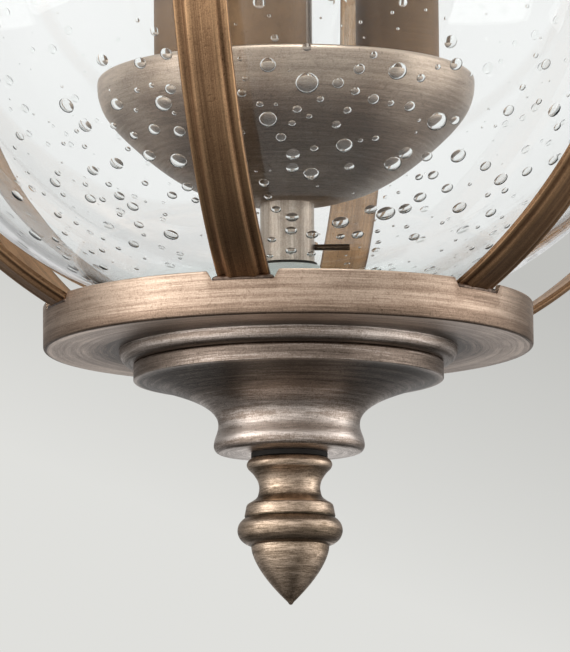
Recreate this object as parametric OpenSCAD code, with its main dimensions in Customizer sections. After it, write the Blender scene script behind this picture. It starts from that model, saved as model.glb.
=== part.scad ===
// Outdoor wall light: a seeded glass globe in a cage of six curved straps, hung from a bent arm.
// The origin is at the wall, at the middle of the wall plate. The wall is behind, at +Y.

/* [Globe] */
// Outer diameter of the glass globe
globe_d = 266; // [250:1:276]
// Thickness of the glass
glass_t = 4; // [3:0.5:6]
// Diameter of the round mouth at each end of the globe
mouth_d = 80; // [72:1:86]
// Depth of the globe's centre below the middle of the wall plate
globe_drop = 146; // [140:1:170]

/* [Cage straps] */
// Number of straps round the globe
strap_count = 6; // [6:1:6]
// How far the outer face of a strap stands out past the edge of the base disc
strap_stand = 3.9; // [3:0.1:4.5]
// Gap between the glass and the inner face of a strap
strap_gap = 11.5; // [9:0.5:14]
// Width of a strap across its flanges
strap_w = 15.3; // [12:0.1:17]
// Thickness of a strap at its flanges
strap_t = 1.6; // [1.2:0.1:2]
// Width of the raised rib along the middle of a strap
rib_w = 9.4; // [7:0.1:10]
// Height of the rib above the flanges
rib_h = 1; // [0.6:0.1:1.4]
// Thickness of the flat ring that the strap ends are welded to
cage_ring_t = 2; // [1.5:0.5:3]

/* [Base and top discs] */
// Outer diameter of the base disc and the top disc
disc_d = 145; // [140:1:152]
// Height of the discs
disc_h = 12.9; // [11:0.1:14]
// Wall thickness of the spun discs and cups
spun_t = 1.5; // [1.2:0.1:2]
// Rounding of the outer edge of the discs
disc_edge = 1; // [0.6:0.1:2.5]
// Side clearance of a strap in its notch in the rim
notch_side = 1.7; // [1:0.1:2]

/* [Base ornament] */
// Outer diameter of the rounded ring under the base disc
ring_d = 100; // [94:1:104]
// Height of that ring
ring_h = 4.2; // [3:0.1:6]
// How far the ring's outer edge rolls inwards, away from the disc
ring_roll = 3; // [1:0.1:4]
// Outer diameter of the bell cup under the ring
cup_d = 91.8; // [84:0.1:94]
// Height of the plain band of the bell cup
cup_band_h = 5; // [3:0.1:7]
// Height of the bell from the band down to its lower face
bell_h = 21.6; // [18:0.1:28]
// Diameter of the neck of the bell
bell_neck_d = 41.8; // [36:0.1:46]
// Diameter of the bead at the foot of the bell
bell_bead_d = 44.6; // [43:0.1:50]

/* [Finial] */
// Diameter of the collar at the top of the finial
finial_collar_d = 25.4; // [22:0.1:28]
// Diameter of the neck of the finial
finial_neck_d = 18; // [15:0.1:20]
// Diameter of the bead at the middle of the finial
finial_bead_d = 31; // [28:0.1:36]
// Diameter of the acorn at the end of the finial
acorn_d = 23; // [20:0.1:25]
// Length of the finial
finial_h = 43.5; // [42:0.5:50]
// Thickness of the washer between the bell and the finial
washer_t = 1.5; // [0.8:0.1:2]
// How far the finial unscrews before it leaves the rod
finial_travel = 6; // [4:0.5:8]

/* [Centre tube and dish] */
// Outer diameter of the centre tubes
tube_d = 16; // [14:0.5:18]
// Wall of the centre tubes
tube_t = 1.2; // [0.8:0.1:1.5]
// Diameter of the threaded rod through the lantern
rod_d = 10; // [8:0.5:10]
// Diameter of the wire bore in the rod
rod_bore_d = 6; // [4:0.5:6]
// Height of the dish's underside above the rim of the base disc
dish_z = 31; // [26:0.5:36]
// Outer diameter of the dish
dish_d = 112; // [108:1:116]
// Height of the dish
dish_h = 37.8; // [34:0.1:42]
// Height of the lock pin above the rim of the base disc
pin_z = 18; // [12:0.5:22]
// Diameter of the lock pin
pin_d = 1.8; // [1.4:0.1:2.4]
// Reach of the lock pin from the middle of the tube
pin_reach = 18.4; // [15:0.1:24]
// Turn of the lock pin from square to the wall
pin_a = 10; // [0:1:20]

/* [Candles] */
// Number of candles
candle_count = 3; // [3:1:3]
// Distance of a candle from the middle of the lantern
candle_pc = 35.7; // [33:0.1:37]
// Outer diameter of a candle sleeve
sleeve_d = 25; // [24:0.5:26]
// Height of a candle sleeve above the socket plate
sleeve_h = 78; // [70:1:84]
// Wall of a candle sleeve
sleeve_t = 1.2; // [1:0.1:1.5]
// Diameter of the bulb's screw cap
cap_d = 13.6; // [13:0.1:14]
// Length of the bulb's screw cap
cap_h = 22; // [20:1:24]
// Diameter of the bulb's glass
bulb_d = 35; // [30:1:37]
// Length of the bulb's glass
bulb_h = 74; // [66:1:80]
// Depth of the socket plate below the rim of the dish
socket_sink = 12; // [10:0.5:13]
// Thickness of the lampholder under the bulb's cap
holder_floor = 6; // [5:0.5:8]

/* [Roof] */
// Height of the dome above its band
dome_h = 22; // [18:1:28]
// Diameter of the neck on top of the dome
roof_neck_d = 26; // [24:1:30]
// Height of the collar that holds the arm's end
arm_cup_h = 18; // [14:1:24]
// Thickness of the collar under the arm's end
arm_cup_floor = 3; // [2:0.5:4]

/* [Arm] */
// Distance of the lantern's middle from the wall
reach = 190; // [184:1:230]
// Outer diameter of the arm tube
arm_d = 16; // [14:1:18]
// Wall of the arm tube
arm_t = 2; // [1.5:0.5:2.5]
// Radius of the first bend, from the wall plate upwards
bend_r = 50; // [40:1:55]
// Height of the straight riser above the first bend
riser_h = 26; // [10:1:50]
// Diameter of the flange round the arm at the wall plate
flange_d = 52; // [46:1:56]
// Height of that flange
flange_h = 10; // [8:0.5:12]
// Straight stretch of the arm between the flange and the first bend
arm_straight = 1; // [0.5:0.5:5]
// Length of the threaded bush in the arm's end
bush_h = 16; // [12:1:18]

/* [Wall plate] */
// Diameter of the wall plate
plate_d = 130; // [126:1:140]
// Depth of the wall plate from the wall to its front face
plate_h = 24; // [22:1:30]
// Diameter of the raised front tier of the wall plate
plate_tier_d = 110; // [108:1:116]
// Thickness of the foam gasket at the wall
gasket_t = 3; // [2:0.5:4]
// Width of the foam gasket
gasket_w = 8; // [5:0.5:9]
// Distance between the two studs
stud_pitch = 88.9; // [84:0.1:90]
// Diameter of the studs
stud_d = 6; // [5:0.5:6]
// Distance between the two wall screw holes
screw_pitch = 80; // [70:1:90]
// Diameter of the wall screw holes
screw_hole_d = 4.6; // [4:0.1:5]
// Thickness of the mounting bracket
bracket_t = 2; // [1.5:0.5:2.5]
// Width of the bracket's arms
bracket_w = 22; // [20:1:26]
// Distance from the middle of a hole to the bracket's end
bracket_end = 5; // [4.5:0.5:8]
// Diameter of the cable hole in the bracket
cable_hole_d = 14; // [12:1:16]
// Diameter of the cap nuts
nut_d = 13; // [11:0.5:15]
// How far a cap nut unscrews before it leaves its stud
nut_travel = 4; // [3:0.5:5]
// Thickness of the soft washer under a cap nut
nut_washer_t = 1; // [0.5:0.5:1.5]

/* [Fits] */
// Radial clearance of parts that slide or turn on one another
run_fit = 0.06; // [0.03:0.01:0.1]
// Radial clearance of a bolt or rod in a plain hole
hole_fit = 0.3; // [0.2:0.05:0.5]
// Gap between the glass and the soft rings that hold it
glass_fit = 0.1; // [0.05:0.05:0.3]

/* [Hidden] */
$fn = 96;

// Colours
BRONZE = [0.52, 0.42, 0.33];
DARK_BRONZE = [0.34, 0.26, 0.19];
NICKEL = [0.68, 0.63, 0.58];
BRASS = [0.78, 0.62, 0.32];
STEEL = [0.70, 0.71, 0.72];
RUBBER = [0.13, 0.13, 0.13];
GLASS = [0.85, 0.93, 0.92, 0.35];
SLEEVE = [0.72, 0.60, 0.42];

globe_r = globe_d / 2;
disc_r = disc_d / 2;
rod_r = rod_d / 2;
tube_r = tube_d / 2;
arm_r = arm_d / 2;
rod_hole_r = rod_r + hole_fit;

// Radii of a strap, measured from the globe's centre
strap_in_r = globe_r + strap_gap;
flange_r = strap_in_r + strap_t;
cage_r = flange_r + rib_h;

// The lantern's own frame has its zero height at the rim of the base disc, where the straps
// stand out by their set amount. That fixes the height of the globe's centre above the rim.
globe_rise = sqrt(pow(cage_r, 2) - pow(disc_r + strap_stand, 2));
rim_z = -globe_drop - globe_rise;
strap_first_a = -90;
strap_step = 360 / strap_count;

// Heights in the base, going down from the floor of the base disc
floor_z = -(disc_h - spun_t);
cage_ring_z = floor_z + cage_ring_t;
disc_low_z = -disc_h;
ring_low_z = disc_low_z - ring_h;
band_low_z = ring_low_z - cup_band_h;
bell_low_z = band_low_z - bell_h;
finial_top_z = bell_low_z - washer_t;

// Where the sphere of radius r round the globe's centre is at height z, and the other way round
function ball_r(r, z) = sqrt(r * r - (globe_rise - z) * (globe_rise - z));
function ball_z(r, x) = globe_rise - sqrt(r * r - x * x);

foot_out_r = ball_r(cage_r, cage_ring_z);
foot_land = 4;
seat_gap = 1;
seat_reach = 7.8;
seat_lip = 1.5;
glass_gasket_h = 2.5;
notch_low_z = ball_z(cage_r, disc_r - spun_t) - hole_fit;
seat_in_r = mouth_d / 2 - seat_lip;
seat_out_r = mouth_d / 2 + seat_reach;
seat_top_z = ball_z(globe_r, seat_in_r) - glass_gasket_h;

// Heights in the cluster
dish_flat_r = tube_r + spun_t;
hub_low_z = dish_z + spun_t;
socket_z = dish_z + dish_h - socket_sink;
socket_top_z = socket_z + spun_t;
sleeve_top_z = socket_top_z + sleeve_h;
cap_sink = 1;
cap_low_z = sleeve_top_z - cap_h - cap_sink;
holder_top_z = sleeve_top_z - 2 * cap_sink;
holder_low_z = cap_low_z - holder_floor;
holder_gap = 0.6;
holder_r = sleeve_d / 2 - sleeve_t - holder_gap;
contact_t = 1.2;
contact_r = 3;
contact_gap = 1;
stem_r = 5;
candle_first_a = -90;
candle_step = 360 / candle_count;

// Heights in the roof
roof_z = 2 * globe_rise + disc_h;
roof_ring_z = roof_z + ring_h;
roof_band_z = roof_ring_z + cup_band_h;
dome_top_z = roof_band_z + dome_h;
arm_end_z = dome_top_z + arm_cup_floor;
rod_top_z = arm_end_z + bush_h;
rod_grip = finial_travel + 8;
rod_room = 1.5;
rod_low_z = finial_top_z - rod_grip;

// The arm's path, in the object's own frame
lock_nut_h = 5;
arm_tail = 2.5;
arm_start = plate_h - spun_t - lock_nut_h - arm_tail;
riser_y = -(plate_h + flange_h + arm_straight + bend_r);
crook_r = (reach + riser_y) / 2;
crook_z = bend_r + riser_h;
arm_end = rim_z + arm_end_z;

function arc(cx, cz, r, a0, a1, n) =
    [for (i = [0:n]) let (a = a0 + (a1 - a0) * i / n) [cx + r * cos(a), cz + r * sin(a)]];

module in_lantern() translate([0, -reach, rim_z]) children();

// Turns a lower part over into the place that it has at the globe's upper mouth
module at_top() translate([0, 0, 2 * globe_rise]) mirror([0, 0, 1]) children();

// Stands a part on the wall, with its own Z pointing out of the wall
module on_wall() rotate([90, 0, 0]) children();

module pipe(r, wall, h) difference() {
    cylinder(r = r, h = h);
    translate([0, 0, -1]) cylinder(r = r - wall, h = h + 2);
}

module washer_ring(r, hole_r, h) difference() {
    cylinder(r = r, h = h);
    translate([0, 0, -1]) cylinder(r = hole_r, h = h + 2);
}

// Wall plate group

module wall_gasket() color(RUBBER) on_wall()
    pipe(plate_d / 2 - 0.5, gasket_w, gasket_t);

module bracket_arm(pitch) translate([-pitch / 2 - bracket_end, -bracket_w / 2, 0])
    cube([pitch + 2 * bracket_end, bracket_w, bracket_t]);

module mounting_bracket() color(STEEL) on_wall() difference() {
    union() {
        bracket_arm(stud_pitch);
        rotate([0, 0, 90]) bracket_arm(screw_pitch);
    }
    for (s = [-1, 1]) {
        translate([s * stud_pitch / 2, 0, -1]) cylinder(r = stud_d / 2 + run_fit, h = bracket_t + 2);
        translate([0, s * screw_pitch / 2, -1]) cylinder(r = screw_hole_d / 2, h = bracket_t + 2);
    }
    translate([0, 0, -1]) cylinder(r = cable_hole_d / 2, h = bracket_t + 2);
}

nut_grip = 4;
nut_room = 1;
module canopy_studs() color(STEEL) on_wall() for (s = [-1, 1])
    translate([s * stud_pitch / 2, 0, 0]) {
        cylinder(r = stud_d / 2, h = plate_h + nut_washer_t + nut_travel + nut_grip + nut_room);
        translate([0, 0, bracket_t]) cylinder(r = stud_d * 0.9, h = 4, $fn = 6);
    }

module wall_plate() color(BRONZE) on_wall() difference() {
    r = plate_d / 2;
    tier_r = plate_tier_d / 2;
    step_h = plate_h * 0.55;
    edge = 3;
    rotate_extrude() polygon(concat(
        [[0, gasket_t], [r, gasket_t]],
        arc(r - edge, step_h - edge, edge, 0, 90, 6),
        [[tier_r, step_h]],
        arc(tier_r - edge, plate_h - edge, edge, 0, 90, 6),
        [[0, plate_h]]
    ));
    rotate_extrude() polygon([
        [0, gasket_t - 1], [r - spun_t, gasket_t - 1], [r - spun_t, step_h - edge],
        [r - edge - 1, step_h - spun_t], [tier_r - spun_t, step_h - spun_t],
        [tier_r - spun_t, plate_h - edge], [tier_r - edge - 1, plate_h - spun_t], [0, plate_h - spun_t],
    ]);
    for (s = [-1, 1]) translate([s * stud_pitch / 2, 0, 0])
        cylinder(r = stud_d / 2 + hole_fit, h = plate_h + 1);
    cylinder(r = arm_r + hole_fit, h = plate_h + 1);
}

module nut_washer(s) color(RUBBER) on_wall() translate([s * stud_pitch / 2, 0, plate_h])
    washer_ring(nut_d / 2 + 0.5, stud_d / 2 + run_fit, nut_washer_t);

module cap_nut(s) color(BRONZE) on_wall() translate([s * stud_pitch / 2, 0, plate_h + nut_washer_t])
    difference() {
        r = nut_d / 2;
        body_h = nut_travel + nut_grip;
        union() {
            cylinder(r = r, h = body_h);
            translate([0, 0, body_h]) intersection() {
                sphere(r = r);
                cylinder(r = r, h = r);
            }
        }
        translate([0, 0, -1]) cylinder(r = stud_d / 2 + run_fit, h = body_h + nut_room + 1);
    }

module arm_flange() color(BRONZE) on_wall() translate([0, 0, plate_h]) difference() {
    foot_h = 0.4 * flange_h;
    cove_r = flange_h - foot_h;
    foot_r = flange_d / 2 - foot_h / 2;
    cove_x = flange_d / 2 - cove_r;
    rotate_extrude() polygon(concat(
        [[0, 0], [flange_d / 2, 0]],
        arc(foot_r, foot_h / 2, foot_h / 2, 0, 90, 4),
        arc(cove_x, flange_h, cove_r, 270, 180, 6),
        [[0, flange_h]]
    ));
    translate([0, 0, -1]) cylinder(r = arm_r + run_fit, h = flange_h + 2);
}

module arm_lock_nut() color(STEEL) on_wall() translate([0, 0, plate_h - spun_t - lock_nut_h])
    difference() {
        cylinder(r = arm_r + 4.5, h = lock_nut_h, $fn = 6);
        translate([0, 0, -1]) cylinder(r = arm_r + run_fit, h = lock_nut_h + 2);
    }

// Terminal block: three ways in a row, on the bracket below the arm's end
way_pitch = 8;
block_d = 10;
block_h = 9;
block_y = -arm_r - 19;
module terminal_block() color([0.9, 0.9, 0.86]) on_wall()
    translate([-1.5 * way_pitch, block_y - block_d / 2, bracket_t]) difference() {
        cube([3 * way_pitch, block_d, block_h]);
        for (i = [0:2]) translate([(i + 0.5) * way_pitch, block_d / 2, 3])
            cylinder(r = way_pitch * 0.2, h = block_h);
    }

module earth_screw() color([0.25, 0.55, 0.25]) on_wall()
    translate([stud_pitch / 4 + 1.8, 0, bracket_t]) difference() {
        head_r = 4;
        union() {
            cylinder(r = head_r, h = 2.4);
            cylinder(r = head_r / 2, h = 6);
        }
        translate([-head_r, -0.5, 5]) cube([2 * head_r, 1, 2]);
    }

// Short leads from the terminal block into the open end of the arm
module quarter_turn(turn_r, wire_r, a) rotate([90, 0, 90]) rotate([0, 0, a])
    rotate_extrude(angle = 90) translate([turn_r, 0]) circle(r = wire_r);

module inner_leads() color([0.2, 0.2, 0.2]) on_wall() for (x = [-3, 0, 3]) {
    lead_r = 1;
    turn_r = 2.5;
    block_top_z = bracket_t + block_h;
    run_z = block_top_z + turn_r;
    translate([x, block_y + turn_r, block_top_z]) quarter_turn(turn_r, lead_r, 90);
    translate([x, block_y + turn_r, run_z]) rotate([-90, 0, 0])
        cylinder(r = lead_r, h = -block_y - 2 * turn_r);
    translate([x, -turn_r, run_z + turn_r]) quarter_turn(turn_r, lead_r, -90);
    translate([x, 0, run_z + turn_r]) cylinder(r = lead_r, h = plate_h - run_z);
}

// Arm, with a threaded bush in its lower end for the rod

module bend(r, a) rotate_extrude(angle = a) translate([r, 0]) difference() {
    circle(r = arm_r);
    circle(r = arm_r - arm_t);
}

module arm() color(BRONZE) {
    translate([0, -arm_start, 0]) rotate([90, 0, 0]) pipe(arm_r, arm_t, -riser_y - bend_r - arm_start);
    translate([0, riser_y + bend_r, bend_r]) rotate([0, 90, 0]) rotate([0, 0, 270]) bend(bend_r, 90);
    translate([0, riser_y, bend_r]) pipe(arm_r, arm_t, riser_h);
    translate([0, riser_y - crook_r, crook_z]) rotate([0, 90, 0]) rotate([0, 0, 90]) bend(crook_r, 180);
    translate([0, -reach, arm_end]) pipe(arm_r, arm_t, crook_z - arm_end);
    translate([0, -reach, arm_end]) pipe(arm_r - arm_t, arm_r - arm_t - rod_r - run_fit, bush_h);
}

module arm_cup() color(BRONZE) in_lantern() translate([0, 0, dome_top_z]) difference() {
    bead_r = 2.5;
    foot_r = roof_neck_d / 2 + 0.5;
    lip_r = arm_r + 1.5;
    rotate_extrude() polygon(concat(
        [[0, 0], [foot_r - bead_r, 0]],
        arc(foot_r - bead_r, bead_r, bead_r, 270, 430, 8),
        [for (i = [0:8]) let (t = i / 8)
            [lip_r + (foot_r - 1.5 - lip_r) * pow(1 - t, 2), 2 * bead_r + (arm_cup_h - 2 * bead_r) * t]],
        [[0, arm_cup_h]]
    ));
    translate([0, 0, arm_end_z - dome_top_z]) cylinder(r = arm_r + run_fit, h = arm_cup_h);
    translate([0, 0, -1]) cylinder(r = rod_hole_r, h = arm_cup_h);
}

// Roof and top of the cage

module roof_dome() color(BRONZE) in_lantern() translate([0, 0, roof_ring_z]) {
    r = cup_d / 2;
    neck = roof_neck_d / 2;
    rise = cup_band_h + dome_h;
    difference() {
        rotate_extrude() polygon(concat(
            [[0, 0], [r, 0], [r, cup_band_h - 1], [r - 1, cup_band_h]],
            [for (i = [0:12]) let (a = 90 * i / 12)
                [neck + (r - 4 - neck) * cos(a), cup_band_h + (dome_h - 4) * sin(a)]],
            [[neck, rise], [0, rise]]
        ));
        rotate_extrude() polygon(concat(
            [[0, -1], [r - spun_t, -1], [r - spun_t, cup_band_h - spun_t]],
            [for (i = [0:12]) let (a = 90 * i / 12)
                [neck - spun_t + (r - 4 - neck) * cos(a), cup_band_h + (dome_h - 4) * sin(a) - spun_t]],
            [[neck - spun_t, rise - spun_t], [0, rise - spun_t]]
        ));
        cylinder(r = rod_hole_r, h = rise + 1);
    }
}

// Ring with a rolled outer edge, the same above the top disc and below the base disc
module round_ring() difference() {
    r = ring_d / 2;
    straight = ring_h * 0.12;
    rotate_extrude() polygon(concat([[0, 0], [r, 0]],
        [for (i = [0:10]) [r - ring_roll * (1 - cos(9 * i)), -straight - (ring_h - straight) * sin(9 * i)]],
        [[0, -ring_h]]));
    translate([0, 0, -ring_h - 1]) cylinder(r = rod_hole_r, h = ring_h + 2);
}

module roof_ring() color(BRONZE) in_lantern() at_top() translate([0, 0, disc_low_z]) round_ring();

module disc_pan() difference() {
    rotate_extrude() polygon(concat(
        [[0, -disc_h], [disc_r - disc_edge, -disc_h]],
        arc(disc_r - disc_edge, -disc_h + disc_edge, disc_edge, 270, 360, 5),
        [[disc_r, -0.5], [disc_r - 0.5, 0], [disc_r - spun_t, 0], [disc_r - spun_t, floor_z], [0, floor_z]]
    ));
    translate([0, 0, -disc_h - 1]) cylinder(r = rod_hole_r, h = disc_h);
    for (i = [0:strap_count - 1]) rotate([0, 0, strap_first_a + strap_step * i])
        translate([disc_r - spun_t - 1, -strap_w / 2 - notch_side, notch_low_z])
            cube([spun_t + 2, strap_w + 2 * notch_side, 1 - notch_low_z]);
}

module top_disc() color(BRONZE) in_lantern() at_top() disc_pan();

module cage_ring() translate([0, 0, floor_z]) difference() {
    cylinder(r = foot_out_r + foot_land, h = cage_ring_t);
    translate([0, 0, -1]) cylinder(r = seat_out_r + seat_gap, h = cage_ring_t + 2);
}

module upper_cage_ring() color(DARK_BRONZE) in_lantern() at_top() cage_ring();

module globe_seat() translate([0, 0, floor_z]) difference() {
    cylinder(r = seat_out_r, h = seat_top_z - floor_z);
    translate([0, 0, spun_t]) cylinder(r = seat_in_r, h = seat_top_z - floor_z);
    translate([0, 0, -1]) cylinder(r = rod_hole_r, h = 4);
}

// Soft ring whose upper face follows the glass
module glass_gasket() rotate_extrude() polygon(concat(
    [[seat_out_r, seat_top_z], [seat_in_r, seat_top_z]],
    [for (i = [0:4]) let (x = seat_in_r + (seat_out_r - seat_in_r) * i / 4)
        [x, ball_z(globe_r, x) - glass_fit]]
));

module upper_globe_seat() color(STEEL) in_lantern() at_top() globe_seat();
module upper_glass_gasket() color(RUBBER) in_lantern() at_top() glass_gasket();

// Straps

// The strap's outline across its length: x from the globe's centre outwards, y across the strap
module strap_section() {
    w = strap_w / 2;
    rib = rib_w / 2;
    polygon([
        [strap_in_r, -w], [flange_r - 0.3, -w], [flange_r, -w + 0.4], [flange_r, -rib - 0.8],
        [flange_r + rib_h * 0.7, -rib], [cage_r, -rib + 1.2],
        [cage_r, rib - 1.2], [flange_r + rib_h * 0.7, rib],
        [flange_r, rib + 0.8], [flange_r, w - 0.4], [flange_r - 0.3, w], [strap_in_r, w],
    ]);
}

module strap(i) color(DARK_BRONZE) in_lantern() rotate([0, 0, strap_first_a + strap_step * i])
    intersection() {
        low_a = 16;
        translate([0, 0, globe_rise]) rotate([90, 0, 0]) rotate([0, 0, low_a - 90])
            rotate_extrude(angle = 180 - 2 * low_a) strap_section();
        translate([0, -strap_w, cage_ring_z])
            cube([cage_r + 1, 2 * strap_w, 2 * (globe_rise - cage_ring_z)]);
    }

module lower_cage_ring() color(DARK_BRONZE) in_lantern() cage_ring();

// Globe

module glass_globe() color(GLASS) in_lantern() translate([0, 0, globe_rise]) difference() {
    sphere(r = globe_r);
    sphere(r = globe_r - glass_t);
    translate([0, 0, -globe_r - 1]) cylinder(r = mouth_d / 2, h = globe_d + 2);
}

module lower_glass_gasket() color(RUBBER) in_lantern() glass_gasket();
module lower_globe_seat() color(STEEL) in_lantern() globe_seat();

// Base

module base_disc() color(BRONZE) in_lantern() disc_pan();
module base_ring() color(BRONZE) in_lantern() translate([0, 0, disc_low_z]) round_ring();

// Outline of the bell's cove, from the band's underside at t = 0 to the neck at t = 1
function cove(t) = [
    bell_neck_d / 2 + (cup_d / 2 - 1 - bell_neck_d / 2) * pow(1 - t, 2.2),
    band_low_z - bell_h * 0.62 * t,
];

module bell_cup() color(BRONZE) in_lantern() difference() {
    r = cup_d / 2;
    bead_r = 2.4;
    bead_x = bell_bead_d / 2 - bead_r;
    rotate_extrude() polygon(concat(
        [[0, ring_low_z], [r, ring_low_z], [r, band_low_z + 1], [r - 1, band_low_z]],
        [for (i = [0:12]) cove(i / 12)],
        [[bell_neck_d / 2, bell_low_z + 2.6 * bead_r]],
        arc(bead_x, bell_low_z + bead_r, bead_r, 50, -90, 8),
        [[0, bell_low_z]]
    ));
    in_r = r - spun_t;
    open_z = ring_low_z + spun_t + 1;
    translate([0, 0, -spun_t]) rotate_extrude() polygon(concat(
        [[0, open_z], [in_r, open_z], [in_r, band_low_z + 2 * spun_t]],
        [for (i = [0:12]) cove(i / 12) + [-spun_t, 2 * spun_t]],
        [[bell_neck_d / 2 - spun_t, bell_low_z + 2 * spun_t], [0, bell_low_z + 2 * spun_t]]
    ));
    translate([0, 0, bell_low_z - 1]) cylinder(r = rod_hole_r, h = 2 * spun_t + 2);
}

module finial_washer() color(RUBBER) in_lantern() translate([0, 0, finial_top_z])
    washer_ring(finial_collar_d / 2 - 0.3, rod_r + run_fit, washer_t);

module finial() color(BRONZE) in_lantern() translate([0, 0, finial_top_z]) difference() {
    collar = finial_collar_d / 2;
    neck = finial_neck_d / 2;
    bead = finial_bead_d / 2;
    acorn = acorn_d / 2;
    ledge = bead - 2.1;
    acorn_h = finial_h - 26.6;
    rotate_extrude() polygon(concat(
        [[0, 0], [collar - 1.2, 0]],
        arc(collar - 1.9, -2, 1.95, 75, -60, 8),
        [[neck + 1.2, -5.2], [neck + 0.3, -7], [neck, -8.8], [neck + 0.4, -11], [neck + 1.5, -12.6]],
        [[ledge - 1.2, -14], [ledge - 0.5, -14.6], [ledge, -17.6], [ledge + 0.4, -18.4]],
        arc(bead - 3.6, -21.6, 3.6, 50, -65, 8),
        [[acorn + 0.2, -26.2]],
        [for (i = [0:14]) let (t = i / 14) [acorn * (1 - pow(t, 1.6)), -26.6 - acorn_h * t]]
    ));
    translate([0, 0, -rod_grip - rod_room]) cylinder(r = rod_r + run_fit, h = rod_grip + rod_room + 1);
}

// Centre rod, tubes and dish

module centre_rod() color(STEEL) in_lantern() difference() {
    translate([0, 0, rod_low_z]) cylinder(r = rod_r, h = rod_top_z - rod_low_z);
    translate([0, 0, rod_low_z - 1]) cylinder(r = rod_bore_d / 2, h = rod_top_z - rod_low_z + 2);
    pin_hole();
}

pin_seat = 0.8;
module pin_hole() translate([0, 0, pin_z]) rotate([0, 0, pin_a]) rotate([0, 90, 0])
    cylinder(r = pin_d / 2 + run_fit, h = pin_reach);

module lower_tube() color(NICKEL) in_lantern() difference() {
    translate([0, 0, floor_z + spun_t]) pipe(tube_r, tube_t, dish_z - floor_z - spun_t);
    pin_hole();
}

module lock_pin() color(DARK_BRONZE) in_lantern()
    translate([0, 0, pin_z]) rotate([0, 0, pin_a]) rotate([0, 90, 0])
        translate([0, 0, rod_bore_d / 2 - pin_seat])
            cylinder(r = pin_d / 2, h = pin_reach - rod_bore_d / 2 + pin_seat);

// The dish's outer side from its flat middle to its rim, as shares of the width and the height
DISH_SIDE = [
    [0.183, 0.04], [0.34, 0.103], [0.477, 0.19], [0.611, 0.302], [0.751, 0.444],
    [0.877, 0.595], [0.961, 0.735], [0.996, 0.862],
];
module dish() color(BRONZE) in_lantern() translate([0, 0, dish_z]) difference() {
    r = dish_d / 2;
    lip = 2;
    side = [for (p = DISH_SIDE) [dish_flat_r + p[0] * (r - dish_flat_r), p[1] * dish_h]];
    inner = [for (i = [len(side) - 1:-1:0]) side[i] + [-spun_t, spun_t]];
    rotate_extrude() polygon(concat(
        [[0, 0], [dish_flat_r, 0]], side,
        arc(r - lip, dish_h - lip, lip, 0, 180, 8), inner,
        [[dish_flat_r - spun_t + 0.1, spun_t], [0, spun_t]]
    ));
    translate([0, 0, -1]) cylinder(r = rod_hole_r, h = spun_t + 2);
}

module cluster_hub() color(STEEL) in_lantern() translate([0, 0, hub_low_z])
    pipe(tube_r, tube_r - rod_hole_r, socket_z - hub_low_z);

module socket_plate() color(STEEL) in_lantern() translate([0, 0, socket_z]) difference() {
    union() {
        cylinder(r = candle_pc / 2, h = spun_t);
        for (i = [0:candle_count - 1]) rotate([0, 0, candle_first_a + candle_step * i]) {
            translate([0, -tube_r, 0]) cube([candle_pc, tube_d, spun_t]);
            translate([candle_pc, 0, 0]) cylinder(r = sleeve_d / 2, h = spun_t);
        }
    }
    translate([0, 0, -1]) cylinder(r = rod_hole_r, h = spun_t + 2);
}

module upper_tube() color(NICKEL) in_lantern() translate([0, 0, socket_top_z])
    pipe(tube_r, tube_t, 2 * globe_rise - floor_z - spun_t - socket_top_z);

// Candles

module at_candle(i) in_lantern() rotate([0, 0, candle_first_a + candle_step * i])
    translate([candle_pc, 0, 0]) children();

module lampholder(i) color([0.88, 0.86, 0.8]) at_candle(i) difference() {
    union() {
        translate([0, 0, socket_top_z]) cylinder(r = stem_r, h = holder_low_z - socket_top_z);
        translate([0, 0, holder_low_z]) cylinder(r = holder_r, h = holder_top_z - holder_low_z);
    }
    translate([0, 0, cap_low_z]) cylinder(r = cap_d / 2 + run_fit, h = cap_h);
    translate([0, 0, cap_low_z - contact_t - contact_gap])
        cylinder(r = contact_r + run_fit, h = contact_t + 2 * contact_gap);
    translate([0, 0, socket_top_z - 1]) cylinder(r = contact_r, h = holder_low_z - socket_top_z);
}

module sleeve(i) color(SLEEVE) at_candle(i) translate([0, 0, socket_top_z])
    pipe(sleeve_d / 2, sleeve_t, sleeve_h);

module contact(i) color(BRASS) at_candle(i) translate([0, 0, cap_low_z - contact_t])
    cylinder(r = contact_r, h = contact_t);

module bulb_cap(i) color(BRASS) at_candle(i) translate([0, 0, cap_low_z]) {
    cylinder(r = cap_d / 2, h = cap_h);
    translate([0, 0, cap_h]) cylinder(r = 2.6, h = bulb_h * 0.24);
    for (a = [45:90:315]) rotate([0, 0, a]) translate([2.8, 0, cap_h + bulb_h * 0.16])
        cylinder(r = 0.7, h = bulb_h * 0.45);
    translate([0, 0, cap_h + bulb_h * 0.16]) cylinder(r = 4, h = 1);
}

module bulb(i) color(GLASS) at_candle(i) translate([0, 0, cap_low_z + cap_h]) difference() {
    r = bulb_d / 2;
    belly = 0.36;
    foot = cap_d / 2 + 1.2;
    wall = 0.8;
    profile = concat(
        [for (i = [0:6]) let (t = i / 6) [foot + (r - foot) * sin(90 * t), belly * bulb_h * t]],
        [for (i = [1:12]) let (a = 90 * i / 12)
            [r * cos(a) * (1 - 0.14 * sin(2 * a)), bulb_h * (belly + (1 - belly) * sin(a))]]
    );
    rotate_extrude() polygon(concat([[0, 0]], profile));
    rotate_extrude() polygon(concat([[0, -1], [foot - wall, -1]],
        [for (p = profile) [max(p[0] - wall, 0), p[1] * (bulb_h - 2 * wall) / bulb_h + wall / 2]]));
}

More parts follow.
